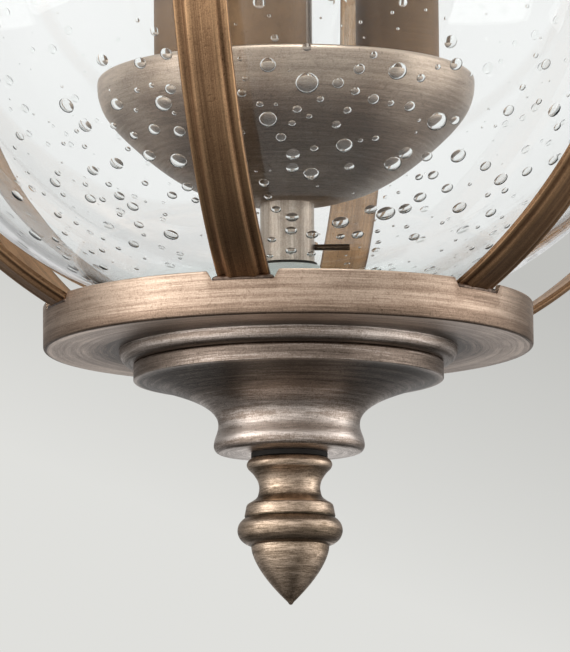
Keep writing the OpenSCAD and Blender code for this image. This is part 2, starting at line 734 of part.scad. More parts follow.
wall_gasket();
mounting_bracket();
canopy_studs();
terminal_block();
earth_screw();
inner_leads();
wall_plate();
nut_washer(-1);  // nut_washer_left
nut_washer(1);  // nut_washer_right
cap_nut(-1);  // cap_nut_left
cap_nut(1);  // cap_nut_right
arm_flange();
arm();
arm_lock_nut();
arm_cup();
roof_dome();
roof_ring();
top_disc();
upper_cage_ring();
upper_globe_seat();
upper_glass_gasket();
centre_rod();
upper_tube();
socket_plate();
cluster_hub();
dish();
lower_tube();
lock_pin();
strap(0);  // strap_1
strap(1);  // strap_2
strap(2);  // strap_3
strap(3);  // strap_4
strap(4);  // strap_5
strap(5);  // strap_6
lower_cage_ring();
glass_globe();
lower_glass_gasket();
lower_globe_seat();
base_disc();
base_ring();
bell_cup();
finial_washer();
finial();
lampholder(0);  // lampholder_1
lampholder(1);  // lampholder_2
lampholder(2);  // lampholder_3
sleeve(0);  // sleeve_1
sleeve(1);  // sleeve_2
sleeve(2);  // sleeve_3
contact(0);  // contact_1
contact(1);  // contact_2
contact(2);  // contact_3
bulb_cap(0);  // bulb_cap_1
bulb_cap(1);  // bulb_cap_2
bulb_cap(2);  // bulb_cap_3
bulb(0);  // bulb_1
bulb(1);  // bulb_2
bulb(2);  // bulb_3
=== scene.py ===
import math

import bmesh
import bpy
from mathutils import Matrix, Vector


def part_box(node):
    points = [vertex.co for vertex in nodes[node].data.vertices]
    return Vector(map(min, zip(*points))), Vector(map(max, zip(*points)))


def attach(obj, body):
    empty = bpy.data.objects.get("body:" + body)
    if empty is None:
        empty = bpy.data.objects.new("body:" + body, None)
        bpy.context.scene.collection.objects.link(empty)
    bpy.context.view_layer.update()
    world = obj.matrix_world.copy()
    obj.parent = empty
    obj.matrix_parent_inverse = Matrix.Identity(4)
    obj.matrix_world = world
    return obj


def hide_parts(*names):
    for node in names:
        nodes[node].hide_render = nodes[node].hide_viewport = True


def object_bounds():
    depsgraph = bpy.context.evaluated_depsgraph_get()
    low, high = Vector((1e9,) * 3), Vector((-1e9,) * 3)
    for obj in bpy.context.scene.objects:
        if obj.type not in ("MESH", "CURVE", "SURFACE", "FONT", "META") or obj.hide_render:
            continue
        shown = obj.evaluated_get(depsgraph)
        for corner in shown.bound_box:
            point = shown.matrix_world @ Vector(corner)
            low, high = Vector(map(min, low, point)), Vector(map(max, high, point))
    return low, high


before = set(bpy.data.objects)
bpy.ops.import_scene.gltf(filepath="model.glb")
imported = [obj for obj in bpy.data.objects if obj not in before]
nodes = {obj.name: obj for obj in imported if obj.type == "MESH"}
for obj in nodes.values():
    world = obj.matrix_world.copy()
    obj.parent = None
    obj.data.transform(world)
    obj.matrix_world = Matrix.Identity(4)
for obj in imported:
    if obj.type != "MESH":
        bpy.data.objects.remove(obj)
cad_low, cad_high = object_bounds()
MM = 0.001

# Camera: it stands 1.78 m away, a little below the lantern and to its right, with a long lens.
# The lantern hangs plumb, so its middle line and the rim of its base disc are read from the
# frame. Its lower end fills the picture, as in a close view of the base.
disc_low, disc_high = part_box("base_disc")
axis_y, rim_z = (disc_low.y + disc_high.y) / 2, disc_high.z
rim_middle = Vector((0, axis_y, rim_z))
photo_width, photo_height = 570, 652
pixel = 0.296 * MM
distance_in_pixels = 6000
camera_turn, camera_rise, camera_roll = math.radians(10.3), math.radians(-8.5), math.radians(-0.54)
rim_pixel = (288.0, 306.6)
scene = bpy.context.scene


def way_to(turn, rise):
    """The direction that far to the right of the lantern's front and that far up."""
    return Vector((math.sin(turn) * math.cos(rise), -math.cos(turn) * math.cos(rise), math.sin(rise)))


def from_middle_of_picture(column, row):
    """How far a pixel of the picture lies from its middle, at the lantern."""
    return picture_right * (column - photo_width / 2) * pixel - picture_up * (row - photo_height / 2) * pixel


def object_of(name, data):
    made = bpy.data.objects.new(name, data)
    scene.collection.objects.link(made)
    return made


toward_camera = way_to(camera_turn, camera_rise)
camera_turned = toward_camera.to_track_quat("Z", "Y").to_matrix() @ Matrix.Rotation(camera_roll, 3, "Z")
picture_right, picture_up = camera_turned.col[0], camera_turned.col[1]
aim = rim_middle - from_middle_of_picture(*rim_pixel)
camera_place = aim + toward_camera * distance_in_pixels * pixel
camera_data = bpy.data.cameras.new("photo_camera")
camera_data.sensor_width = 36
camera_data.lens = camera_data.sensor_width * distance_in_pixels / photo_height
camera_data.clip_end = 100
camera = object_of("photo_camera", camera_data)
camera.matrix_world = Matrix.Translation(camera_place) @ camera_turned.to_4x4()
scene.camera = camera


# Studio: a plain grey wall that is a little darker to the upper right, and a pale floor far
# below. What the metal mirrors is bright in front above the horizon and dim straight below.
wall_left, wall_right = (0.745, 0.745, 0.72, 1), (0.53, 0.53, 0.51, 1)
slant_across, slant_up, slant_middle = 6.3, 16.5, 0.634
seen_through_glass, room_light = 0.94, 0.52
# How bright the room is by height, from straight down at -1 to straight up at 1
room_in_front = [(-1.0, 0.06), (-0.92, 0.13), (-0.75, 0.42), (-0.55, 0.85), (-0.1, 1.15), (0.12, 1.08),
                 (0.4, 1.35), (0.75, 1.25), (1.0, 0.7)]
room_behind = [(-1.0, 0.06), (-0.85, 0.12), (-0.5, 0.36), (-0.14, 1.0), (0.1, 0.75), (0.9, 0.6)]
# How bright the room is by turn from the camera, in half turns to the right: two lit sides,
# a lit backdrop, and darker corners between them
room_by_turn = [(-1.0, 1.1), (-0.9, 0.36), (-0.72, 0.33), (-0.6, 0.52), (-0.47, 0.95), (-0.3, 0.95),
                (-0.2, 1.42), (-0.07, 0.9), (0.07, 0.68), (0.2, 0.46), (0.33, 0.95), (0.47, 0.95),
                (0.6, 0.8), (0.72, 0.3), (0.88, 0.28), (1.0, 1.1)]


def feed(tree, node, inputs):
    """Gives each of those inputs of a node its value or another node's output."""
    for slot, value in inputs.items():
        if isinstance(value, bpy.types.NodeSocket):
            tree.links.new(value, node.inputs[slot])
        else:
            node.inputs[slot].default_value = value
    return node


def wired(tree, kind, inputs=None, **settings):
    """Adds a node of that kind with its settings and inputs."""
    made = tree.nodes.new(kind)
    for name, value in settings.items():
        setattr(made, name, value)
    return feed(tree, made, inputs or {})


def math_node(tree, operation, *values, clamp=False):
    return wired(tree, "ShaderNodeMath", dict(enumerate(values)), operation=operation,
                 use_clamp=clamp).outputs[0]


def vector_node(tree, operation, *values):
    return wired(tree, "ShaderNodeVectorMath", dict(enumerate(values)), operation=operation).outputs


def blend_colour(tree, factor, first, second):
    return wired(tree, "ShaderNodeMix", {0: factor, 6: first, 7: second}, data_type="RGBA").outputs[2]


def fade(tree, value, low, high):
    """Runs smoothly from 0 to 1 as the value goes from low to high."""
    return wired(tree, "ShaderNodeMapRange", {"Value": value, "From Min": low, "From Max": high},
                 interpolation_type="SMOOTHSTEP").outputs["Result"]


def by_level(tree, place, levels):
    """A brightness that follows a place between -1 and 1, through the given levels."""
    ramp = wired(tree, "ShaderNodeValToRGB", {0: math_node(tree, "MULTIPLY_ADD", place, 0.5, 0.5)})
    band = ramp.color_ramp
    band.interpolation = "EASE"
    while len(band.elements) < len(levels):
        band.elements.new(1.0)
    for stop, (level, light) in zip(band.elements, levels):
        stop.position = (level + 1) / 2
        stop.color = (light, light, light, 1)
    return ramp.outputs[0]


scene.view_settings.view_transform = "Standard"
world = bpy.data.worlds.new("studio")
scene.world = world
world.use_nodes = True
tree = world.node_tree
tree.nodes.clear()
direction = wired(tree, "ShaderNodeTexCoord").outputs["Generated"]
across, up, facing, height = (
    vector_node(tree, "DOT_PRODUCT", direction, way)["Value"]
    for way in (picture_right, picture_up, Vector((*toward_camera.xy, 0)).normalized(), (0, 0, 1)))
slant = math_node(tree, "MULTIPLY_ADD", across, slant_across, slant_middle)
slant = math_node(tree, "MULTIPLY_ADD", up, slant_up, slant, clamp=True)
turn = math_node(tree, "DIVIDE", math_node(tree, "ARCTAN2", across, facing), math.pi)
lit = wired(tree, "ShaderNodeMix", {0: fade(tree, facing, -0.3, 0.15), 2: by_level(tree, height, room_behind),
                                    3: by_level(tree, height, room_in_front)}, data_type="FLOAT").outputs[0]
lit = math_node(tree, "MULTIPLY", lit, by_level(tree, turn, room_by_turn))
ray = wired(tree, "ShaderNodeLightPath").outputs
seen = blend_colour(tree, ray["Is Glossy Ray"], (room_light,) * 3 + (1,), lit)
seen = blend_colour(tree, ray["Is Transmission Ray"], seen, (seen_through_glass,) * 3 + (1,))
seen = blend_colour(tree, ray["Is Camera Ray"], seen, blend_colour(tree, slant, wall_left, wall_right))
background = wired(tree, "ShaderNodeBackground", {"Color": seen})
wired(tree, "ShaderNodeOutputWorld", {"Surface": background.outputs[0]})


def soft_box(name, turn, rise, distance, size, power):
    """A rectangular lamp that stands at that turn from the camera and faces the lantern."""
    data = bpy.data.lights.new(name, "AREA")
    data.shape = "RECTANGLE"
    data.size, data.size_y = size
    data.energy = power
    way = way_to(camera_turn + math.radians(turn), math.radians(rise))
    faced = way.to_track_quat("Z", "Y").to_matrix().to_4x4()
    object_of(name, data).matrix_world = Matrix.Translation(rim_middle + way * distance) @ faced


soft_box("left_box", turn=-62, rise=3, distance=1.4, size=(0.75, 1.5), power=5.3)
soft_box("right_box", turn=97, rise=3, distance=1.4, size=(0.75, 1.5), power=4.0)
soft_box("top_box", turn=10, rise=68, distance=1.5, size=(1.0, 0.8), power=9)


def new_material(name, values):
    """A material, its nodes and its Principled shader, which has those values."""
    material = bpy.data.materials.new(name)
    material.use_nodes = True
    tree = material.node_tree
    return material, tree, feed(tree, tree.nodes["Principled BSDF"], values)


def clear_where(tree, factor, shader, tint=(1, 1, 1, 1)):
    """Lets light straight through the surface where the factor is 1."""
    clear = wired(tree, "ShaderNodeBsdfTransparent", {"Color": tint})
    choice = wired(tree, "ShaderNodeMixShader", {0: factor, 1: shader.outputs[0], 2: clear.outputs[0]})
    feed(tree, tree.nodes["Material Output"], {"Surface": choice.outputs[0]})


floor_half, floor_z = 6.0, cad_low.z - 0.55
floor_mesh = bpy.data.meshes.new("floor")
floor_corners = [(x * floor_half, y * floor_half, floor_z) for x, y in ((-1, -1), (1, -1), (1, 1), (-1, 1))]
floor_mesh.from_pydata(floor_corners, [], [(0, 1, 2, 3)])
floor_paint, tree, shader = new_material("floor_paint", {"Base Color": (0.9, 0.9, 0.89, 1), "Roughness": 0.8})
clear_where(tree, wired(tree, "ShaderNodeNewGeometry").outputs["Backfacing"], shader)
floor_mesh.materials.append(floor_paint)
floor = object_of("floor", floor_mesh)
floor.visible_glossy = False


# Base disc: a spun brass pan with a rolled edge, burnished along the turning lines over a
# dark bronze patina. Six notches in its rim take the feet of the straps.
def height_over_rim(z):
    return (z - rim_z) / MM


def size_of(name):
    """A CAD piece's radius, foot and top in millimetres, with heights over the rim."""
    low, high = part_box(name)
    return (high.x - low.x) / 2 / MM, height_over_rim(low.z), height_over_rim(high.z)


def round_from(start, turn, bits, first=0):
    """Evenly stepped angles from a start through a turn, in degrees."""
    return [math.radians(start + turn * n / bits) for n in range(first, bits + 1)]


def rounded_outline(corners, step=0.4, most_of_side=0.48, flat_end=0.25):
    """Points along a closed outline whose corners (r, z, radius) are rounded with arcs."""
    points = []
    for i, (r, z, radius) in enumerate(corners):
        here = Vector((r, z))
        if radius <= 0:
            points.append(here)
            continue
        before = Vector(corners[i - 1][:2]) - here
        after = Vector(corners[(i + 1) % len(corners)][:2]) - here
        angle = before.angle(after)
        reach = min(radius / math.tan(angle / 2), before.length * most_of_side, after.length * most_of_side)
        radius = reach * math.tan(angle / 2)
        start, end = here + before.normalized() * reach, here + after.normalized() * reach
        halfway = (before.normalized() + after.normalized()).normalized()
        middle = here + halfway * (radius / math.sin(angle / 2))
        turn = math.pi - angle
        bits = max(4, math.ceil(turn * radius / step))
        spoke = start - middle
        sign = 1 if (spoke.x * (end - middle).y - spoke.y * (end - middle).x) > 0 else -1
        # A point just before and after each arc keeps the flat stretches flat in the shading
        points.append(start + before.normalized() * min(flat_end, before.length * 0.02))
        for n in range(bits + 1):
            a = sign * turn * n / bits
            points.append(middle + Vector((spoke.x * math.cos(a) - spoke.y * math.sin(a),
                                           spoke.x * math.sin(a) + spoke.y * math.cos(a))))
        points.append(end + after.normalized() * min(flat_end, after.length * 0.02))
    return points


def edge_wear(points, reach=0.9, full_bend=1.1):
    """How far each outline point stands proud, from -1 in a groove to 1 on an edge."""
    count = len(points)
    area = sum(p.x * q.y - q.x * p.y for p, q in zip(points, points[1:] + points[:1]))
    side = 1 if area > 0 else -1
    bend, length = [], []
    for i in range(count):
        a, b = points[i] - points[i - 1], points[(i + 1) % count] - points[i]
        bend.append(side * math.atan2(a.x * b.y - a.y * b.x, a.dot(b)) if a.length and b.length else 0)
        length.append(b.length)
    wear = []
    for i in range(count):
        total = bend[i]
        for way in (1, -1):
            gone, j = 0, i
            while gone < reach and abs(j - i) < 40:
                gone += length[(j if way == 1 else j - 1) % count]
                j += way
                total += bend[j % count] * max(0, 1 - gone / reach)
        wear.append(max(-1, min(1, total / full_bend)))
    return wear


def painted_light_by_height(*levels):
    """Painted light and shade that follow the height over the rim, through (height, amount) pairs from the
    top down.
    """
    def shade(point):
        for (top, start), (foot, end) in zip(levels, levels[1:]):
            if top >= point.y >= foot:
                return start + (end - start) * (top - point.y) / (top - foot)
        return 0.0
    return shade


def circle(built, place, radius, height, around):
    """Points of a mesh on a circle round the place's own Z axis; the radius may follow the angle."""
    spots = []
    for n in range(around):
        a = 2 * math.pi * n / around
        r = radius(a) if callable(radius) else radius
        spots.append(built.verts.new(place @ Vector((r * MM * math.cos(a), r * MM * math.sin(a),
                                                     height * MM))))
    return spots


def skin(built, rings, closed=False):
    """Faces from ring to ring, and back to the first where closed; a ring may be one point."""
    for first, second in zip(rings, rings[1:] + rings[:1] if closed else rings[1:]):
        around = max(len(first), len(second))
        for n in range(around if around > 1 else 0):
            m = (n + 1) % around
            corners = [first[n % len(first)], first[m % len(first)], second[m % len(second)],
                       second[n % len(second)]]
            built.faces.new(list(dict.fromkeys(corners)))


def piece_from(name, built, smooth=True, sharp=40):
    for face in built.faces:
        face.smooth = smooth
    mesh = bpy.data.meshes.new(name)
    built.to_mesh(mesh)
    built.free()
    if smooth:
        mesh.set_sharp_from_angle(angle=math.radians(sharp))
    return object_of(name, mesh)


def baked(piece):
    """The mesh that a piece's modifiers make. The modifiers are then removed."""
    mesh = bpy.data.meshes.new_from_object(piece.evaluated_get(bpy.context.evaluated_depsgraph_get()))
    piece.modifiers.clear()
    return mesh


in_lantern = Matrix.Translation(rim_middle)


def lathe(name, outline, place=in_lantern, around=192, shade=None):
    """Turns a closed outline, in millimetres, round the place's own Z axis."""
    outline = [Vector(p) for p in outline]
    built = bmesh.new()
    layer = built.verts.layers.float.new("wear")
    rings = []
    for point, proud in zip(outline, edge_wear(outline)):
        ring = circle(built, place, point.x, point.y, 1 if point.x < 1e-4 else around)
        for vertex in ring:
            # The wear attribute holds the edge wear plus the painted light and shade that the shade function
            # gives
            vertex[layer] = proud + (shade(point) if shade else 0)
        rings.append(ring)
    skin(built, rings, closed=True)
    bmesh.ops.recalc_face_normals(built, faces=built.faces)
    return piece_from(name, built)


def noise_in(tree, vector, scale, detail, rough=0.55):
    return wired(tree, "ShaderNodeTexNoise", {"Vector": vector, "Scale": scale, "Detail": detail,
                                              "Roughness": rough}).outputs["Fac"]


def stretched(tree, value, low, high):
    return wired(tree, "ShaderNodeMapRange", {"Value": value, "From Min": low, "From Max": high},
                 clamp=True).outputs["Result"]


def add_sockets(group, side, *sockets):
    """Adds inputs or outputs, each (name, kind) or (name, kind, value), and gives their identifiers."""
    identifiers = {}
    for name, kind, *value in sockets:
        made = group.interface.new_socket(name=name, in_out=side, socket_type="NodeSocket" + kind)
        if value:
            made.default_value = value[0]
        identifiers[name] = made.identifier
    return identifiers


def burnish_group():
    """Three tones of a burnished finish: brushed lines, cloudy patina, bright edges, dark grooves, and the
    painted light and shade that come in with the wear.
    """
    group = bpy.data.node_groups.new("burnish", "ShaderNodeTree")
    add_sockets(group, "INPUT", ("Lines", "Vector"), ("Place", "Vector"), ("Wear", "Float"),
                ("Dark", "Color"), ("Middle", "Color"), ("Bright", "Color"),
                ("Line Depth", "Float"), ("Roughness Base", "Float"))
    add_sockets(group, "OUTPUT", ("Color", "Color"), ("Roughness", "Float"), ("Height", "Float"))
    source = wired(group, "NodeGroupInput").outputs
    place = source["Place"]
    fine = stretched(group, noise_in(group, source["Lines"], 1.0, 3.0, 0.7), 0.3, 0.7)
    broad = stretched(group, noise_in(group, source["Lines"], 0.22, 2.0), 0.34, 0.66)
    cloud = stretched(group, noise_in(group, place, 46.0, 3.0), 0.3, 0.72)
    grain = stretched(group, noise_in(group, place, 2600.0, 1.0), 0.3, 0.7)
    pits = stretched(group, noise_in(group, place, 900.0, 2.0), 0.58, 0.75)

    def plus(amount, share, rest):
        return math_node(group, "MULTIPLY_ADD", amount, share, rest)

    lines = plus(fine, 0.6, math_node(group, "MULTIPLY", broad, 0.4))
    depth = math_node(group, "MULTIPLY", math_node(group, "SUBTRACT", lines, 0.5), source["Line Depth"])
    tone = math_node(group, "ADD", plus(grain, 0.20, plus(cloud, 0.2, 0.34)), depth)
    tone = plus(source["Wear"], 0.38, tone)
    tone = math_node(group, "SUBTRACT", tone, math_node(group, "MULTIPLY", pits, 0.16), clamp=True)
    low_tone = blend_colour(group, stretched(group, tone, 0.0, 0.5), source["Dark"], source["Middle"])
    rough = plus(math_node(group, "SUBTRACT", 1.0, tone), 0.16, source["Roughness Base"])
    wired(group, "NodeGroupOutput", {
        "Color": blend_colour(group, stretched(group, tone, 0.5, 1.0), low_tone, source["Bright"]),
        "Roughness": plus(fine, 0.06, rough),
        "Height": plus(lines, 1.0, math_node(group, "MULTIPLY", pits, -0.6)),
    })
    return group


burnish = burnish_group()


def in_own_place(tree, place):
    """The surface's coordinates in the scene and in the place's own directions, and off its Z axis."""
    here = wired(tree, "ShaderNodeTexCoord").outputs["Object"]
    own = wired(tree, "ShaderNodeMapping", vector_type="TEXTURE", inputs={
        "Vector": here, "Location": place.translation, "Rotation": place.to_euler()}).outputs[0]
    return here, own, vector_node(tree, "MULTIPLY", own, (1, 1, 0))[0]


def drawn_out(tree, off_axis, across, lengthwise):
    """Fine steps across brush lines and slow ones along them."""
    spoke = vector_node(tree, "NORMALIZE", off_axis)[0]
    return vector_node(tree, "MULTIPLY_ADD", spoke, (across,) * 3, lengthwise)[0]


def lines_round(place, turns=5.0, fineness=3300.0, slant=0.8):
    """Coordinates drawn out along brush lines that run round the place's Z axis."""
    def build(tree):
        here, own, off_axis = in_own_place(tree, place)
        height = wired(tree, "ShaderNodeSeparateXYZ", {0: own}).outputs[2]
        lift = math_node(tree, "MULTIPLY_ADD", vector_node(tree, "LENGTH", off_axis)["Value"],
                         fineness * slant, math_node(tree, "MULTIPLY", height, fineness))
        risen = wired(tree, "ShaderNodeCombineXYZ", {2: lift}).outputs[0]
        return drawn_out(tree, off_axis, turns, risen), here
    return build


def lines_up(place, fineness=26.0, drop=45.0):
    """Coordinates drawn out along brush lines that run up the place's Z axis."""
    def build(tree):
        here, own, off_axis = in_own_place(tree, place)
        rise = vector_node(tree, "MULTIPLY", own, (0, 0, drop))[0]
        return drawn_out(tree, off_axis, fineness, rise), here
    return build


def add_relief(tree, shader, height, strength, distance=0.2 * MM):
    bump = wired(tree, "ShaderNodeBump", {"Height": height, "Strength": strength, "Distance": distance})
    feed(tree, shader, {"Normal": bump.outputs[0]})


def burnished(name, dark, middle, bright, coordinates, depth=0.6, roughness=0.3, relief=0.25, metal=1.0):
    """A burnished metal whose lines follow the given coordinates."""
    material, tree, shader = new_material(name, {"Metallic": metal})
    lines, here = coordinates(tree)
    finish = wired(tree, "ShaderNodeGroup", node_tree=burnish, inputs={
        "Lines": lines, "Place": here,
        "Wear": wired(tree, "ShaderNodeAttribute", attribute_name="wear").outputs["Fac"],
        "Dark": dark + (1,), "Middle": middle + (1,), "Bright": bright + (1,),
        "Line Depth": depth, "Roughness Base": roughness}).outputs
    feed(tree, shader, {"Base Color": finish["Color"], "Roughness": finish["Roughness"]})
    add_relief(tree, shader, finish["Height"], relief)
    return material


bronze_tones = (0.085, 0.058, 0.040), (0.33, 0.232, 0.168), (0.72, 0.555, 0.43)
turned_bronze = burnished("turned_bronze", *bronze_tones, lines_round(in_lantern))


def dress(piece, material, slot_name, body, *replaced):
    """Gives a finished piece its material and its body, and hides the nodes that it stands for; the slot name
    is not used.
    """
    if material:
        piece.data.materials.clear()
        piece.data.materials.append(material)
    if replaced:
        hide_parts(*replaced)
    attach(piece, body)


disc_radius, disc_foot, _ = size_of("base_disc")
ring_radius, ring_foot, ring_top = size_of("base_ring")
disc_wall, rod_hole, strap_width = 1.5, 5.3, 15.3
notch_half, notch_depth, notch_slope = strap_width / 2 + 1.0, 2.9, 2.2
strap_count = 6
strap_turns = [math.radians(-90 + 360 / strap_count * n) for n in range(strap_count)]
# Painted shade: the rim wall is painted a little lighter above and darker towards its foot, and the underside
# darker into the corner by the ring, whose shaded side it mirrors
wall_shade_top, wall_darkens, corner_width, corner_painted_shade = -8.6, -10.4, 12.0, -1.9
wall_foot_painted_shade = painted_light_by_height((wall_shade_top, 0.35), (wall_darkens, -0.2), (disc_foot - 0.1, -1.4))


# Painted shade at the rim wall's foot and in the corner under the disc by the ring
def painted_wall_and_corner_shade(point):
    if point.x > disc_radius - 1.2 and point.y <= wall_shade_top:
        return wall_foot_painted_shade(point)
    if point.y < disc_foot + 0.1 and ring_radius - 1 <= point.x < disc_radius - 2:
        return corner_painted_shade * max(0.0, 1 - (point.x - ring_radius) / corner_width) ** 1.3
    return 0.0


def notch_side():
    """One side of a notch, from its floor up a soft slope and out over the rim."""
    slope = [(notch_half + notch_slope * t, -notch_depth + notch_depth * 1.02 * (3 * t * t - 2 * t ** 3))
             for t in (n / 8 for n in range(9))]
    return slope + [(notch_half + notch_slope, 2.0)]


def spun_disc(name, top_z, flip):
    """The pan of the base disc, or upside down that of the top disc, with its six notches."""
    under = [(ring_radius + corner_width * n / 5, disc_foot, 0) for n in range(6)]
    piece = lathe(name, rounded_outline([(rod_hole, disc_foot, 0)] + under + [
        (disc_radius, disc_foot, 1.0), (disc_radius, wall_darkens, 0), (disc_radius, wall_shade_top, 0),
        (disc_radius, 0, 0.45), (disc_radius - disc_wall, 0, 0.45),
        (disc_radius - disc_wall, disc_foot + disc_wall, 0.6), (rod_hole, disc_foot + disc_wall, 0),
    ]), Matrix.Translation((0, axis_y, 0)), shade=painted_wall_and_corner_shade)
    cutters = bmesh.new()
    shape = notch_side() + [(-x, z) for x, z in notch_side()[::-1]]
    for turn in strap_turns:
        spoke = Vector((math.cos(turn), math.sin(turn), 0))
        tangent = Vector((-math.sin(turn), math.cos(turn), 0))
        axis = Vector((0, axis_y, 0))
        near, far = ([cutters.verts.new(axis + (spoke * reach + tangent * x + Vector((0, 0, z))) * MM)
                      for x, z in shape] for reach in (disc_radius - 4, disc_radius + 2))
        cutters.faces.new(near[::-1])
        cutters.faces.new(far)
        skin(cutters, [near, far])
    bmesh.ops.recalc_face_normals(cutters, faces=cutters.faces)
    cutter = piece_from(name + "_cutters", cutters, smooth=False)
    cut = piece.modifiers.new("notches", "BOOLEAN")
    cut.operation, cut.solver, cut.object = "DIFFERENCE", "EXACT", cutter
    done = baked(piece)
    piece.data = done
    bpy.data.objects.remove(cutter)
    turned = bmesh.new()
    turned.from_mesh(done)
    if flip:
        bmesh.ops.scale(turned, verts=turned.verts, vec=(1, 1, -1))
        bmesh.ops.reverse_faces(turned, faces=turned.faces)
    bmesh.ops.translate(turned, verts=turned.verts, vec=(0, 0, top_z))
    turned.to_mesh(done)
    turned.free()
    done.set_sharp_from_angle(angle=math.radians(30))
    return piece


dress(spun_disc("burnished_base_disc", rim_z, flip=False), turned_bronze, "burnished_bronze", "lantern",
      "base_disc")


# Ring and bell cup under the disc: a ring with a rolled lower edge, then a plain band that
# sweeps in a long cove to the neck and ends in a soft bead. Both are turned and burnished.
cup_radius, cup_foot, _ = size_of("bell_cup")
cup_top = ring_foot
band_height, neck_radius, bead_radius, bead_height = 5.0, 20.9, 22.3, 2.2
band_foot = cup_top - band_height
bell_bronze = burnished("bell_bronze", (0.07, 0.053, 0.038), (0.33, 0.26, 0.212), (0.94, 0.83, 0.75),
                        lines_round(in_lantern, fineness=3000.0), depth=0.6, roughness=0.27)


def rolled_ring(top, foot, radius, roll=3.0, straight=0.12):
    """Outline of a flat ring that rises straight from the disc and rolls in below."""
    start = top + (foot - top) * straight
    side = [(radius - roll * (1 - math.cos(a)), start + (foot - start) * math.sin(a))
            for a in round_from(0, 90, 10)]
    return [(rod_hole, top), (radius, top)] + side + [(rod_hole, foot)]


def bell_outline():
    """Outline of the bell cup: band, cove, neck and bead."""
    outline = rounded_outline([(rod_hole, cup_top, 0), (cup_radius, cup_top, 0.7),
                               (cup_radius, band_foot, 0.35), (cup_radius - 2.4, band_foot - 0.25, 0.3),
                               (rod_hole, band_foot, 0)])[:-2]
    cove_foot = band_foot - (band_foot - cup_foot) * 0.62
    bead_top = cup_foot + bead_height
    outline += [(neck_radius + (cup_radius - 1.0 - neck_radius) * (1 - t) ** 2.2,
                 band_foot + (cove_foot - band_foot) * t)
                for t in (n / 28 for n in range(2, 29))]
    outline += [(neck_radius + (bead_radius - neck_radius) * (1 - math.cos(math.pi * t)) / 2,
                 cove_foot + (bead_top - cove_foot) * t) for t in (n / 8 for n in range(1, 9))]
    outline += [(bead_radius - 1.9 + 1.9 * math.cos(a), bead_top - bead_height * math.sin(a))
                for a in round_from(0, 90, 8, first=1)]
    return outline + [(rod_hole, cup_foot)]


# Painted shade where the ring meets the disc above and the band below; its middle is painted a little lighter
ring_painted_shade = painted_light_by_height((ring_top, -1.2), (ring_top - 0.8, -0.4), ((ring_top + ring_foot) / 2, 0.1),
                   (ring_foot + 1.2, -0.1), (ring_foot, -1.1))
# Painted shade on the band and the top of the cove, and painted highlights on the lower cove and the bead
cup_painted_light = painted_light_by_height(
    (cup_top, -1.3), (cup_top - 0.8, -0.75), (cup_top - 1.8, -0.55), (band_foot + 2.4, -0.95),
    (band_foot + 1.4, -1.4), (band_foot, -0.9), (band_foot - 0.5, -1.4), (-26.5, -0.8), (-28.5, 0.2),
    (-33, 0.4), (-34.5, 0.2), (-36.5, 1.0), (-40.4, 1.3), (-41.6, -0.3), (-42.6, -0.4), (cup_foot, -0.2))
dress(lathe("burnished_base_ring", rolled_ring(ring_top, ring_foot, ring_radius), shade=ring_painted_shade),
      bell_bronze, "burnished_bronze", "lantern", "base_ring")
dress(lathe("burnished_bell_cup", bell_outline(), shade=cup_painted_light),
      bell_bronze, "burnished_bronze", "lantern", "bell_cup")


# Finial: a turned collar, neck, ledge, bead and acorn, screwed on the centre rod over a dark
# washer. It is rubbed brighter on its edges, with olive patina left in the grooves.
def smooth_line(points, bits=5):
    """A soft curve through outline points, as short straight bits."""
    out = []
    for i in range(len(points) - 1):
        p0, p1 = Vector(points[max(i - 1, 0)]), Vector(points[i])
        p2, p3 = Vector(points[i + 1]), Vector(points[min(i + 2, len(points) - 1)])
        for n in range(bits):
            t = n / bits
            out.append(0.5 * ((2 * p1) + (p2 - p0) * t + (2 * p0 - 5 * p1 + 4 * p2 - p3) * t * t
                              + (3 * p1 - p0 - 3 * p2 + p3) * t ** 3))
    return out + [Vector(points[-1])]


_, finial_tip, finial_top = size_of("finial")
finial_length = finial_top - finial_tip
# (radius, depth below the finial's top)
finial_collar = [(10.2, 0), (11.6, -0.35), (12.5, -1.4), (12.6, -2.3), (12.1, -3.3), (11.0, -4.4),
                 (10.1, -5.6), (9.35, -7.0), (9.0, -8.8), (9.25, -10.6), (9.75, -11.8), (11.0, -12.8),
                 (12.2, -13.5)]
finial_ledge = [(12.2, -13.5), (12.75, -14.1), (13.05, -15.4), (13.4, -17.2)]
finial_bead = [(13.4, -17.2), (13.3, -17.75), (14.2, -18.5), (15.1, -19.7), (15.5, -21.2), (15.35, -22.6),
               (14.6, -24.1), (13.2, -25.3), (11.6, -26.0)]
acorn_radius, acorn_top, tip_radius = 11.5, -26.3, 0.45
thread_radius, thread_deep = 5.1, -14.5
finial_outline = [(thread_radius, 0), (10.2, 0), *smooth_line(finial_collar)[1:-1],
                  *smooth_line(finial_ledge)[:-1], *smooth_line(finial_bead)]
finial_outline += [(acorn_radius * (1 - t ** 1.6), acorn_top - (finial_length + acorn_top) * t)
                   for t in (n / 20 for n in range(20))]
finial_outline += [(tip_radius, 0.18 - finial_length), (0, -finial_length), (0, thread_deep),
                   (thread_radius, thread_deep)]
# Painted highlights on the upper sides of collar, ledge and bead, and painted shade on their lower sides, by
# height
finial_painted_light = painted_light_by_height(
    (-46, 0.4), (-48, -0.1), (-50.3, 0.1), (-52, 0.8), (-54.5, 0.8), (-56.5, -0.2), (-59, 0.6), (-61.5, 0.4),
    (-62.8, -0.5), (-63.8, 0.8), (-66, 0.6), (-67.2, -0.5), (-70.4, -0.5), (-71.4, 0.8), (-72.4, 0.1),
    (-75, 0.2), (-86, 0.4))
finial_bronze = burnished("finial_bronze", (0.065, 0.050, 0.032), (0.31, 0.228, 0.160), (0.74, 0.57, 0.43),
                          lines_round(in_lantern, turns=3.6, fineness=2600.0), depth=0.95, roughness=0.27)
dress(lathe("burnished_finial", [(r, z + finial_top) for r, z in finial_outline],
            around=128, shade=finial_painted_light),
      finial_bronze, "burnished_bronze", "finial", "finial")


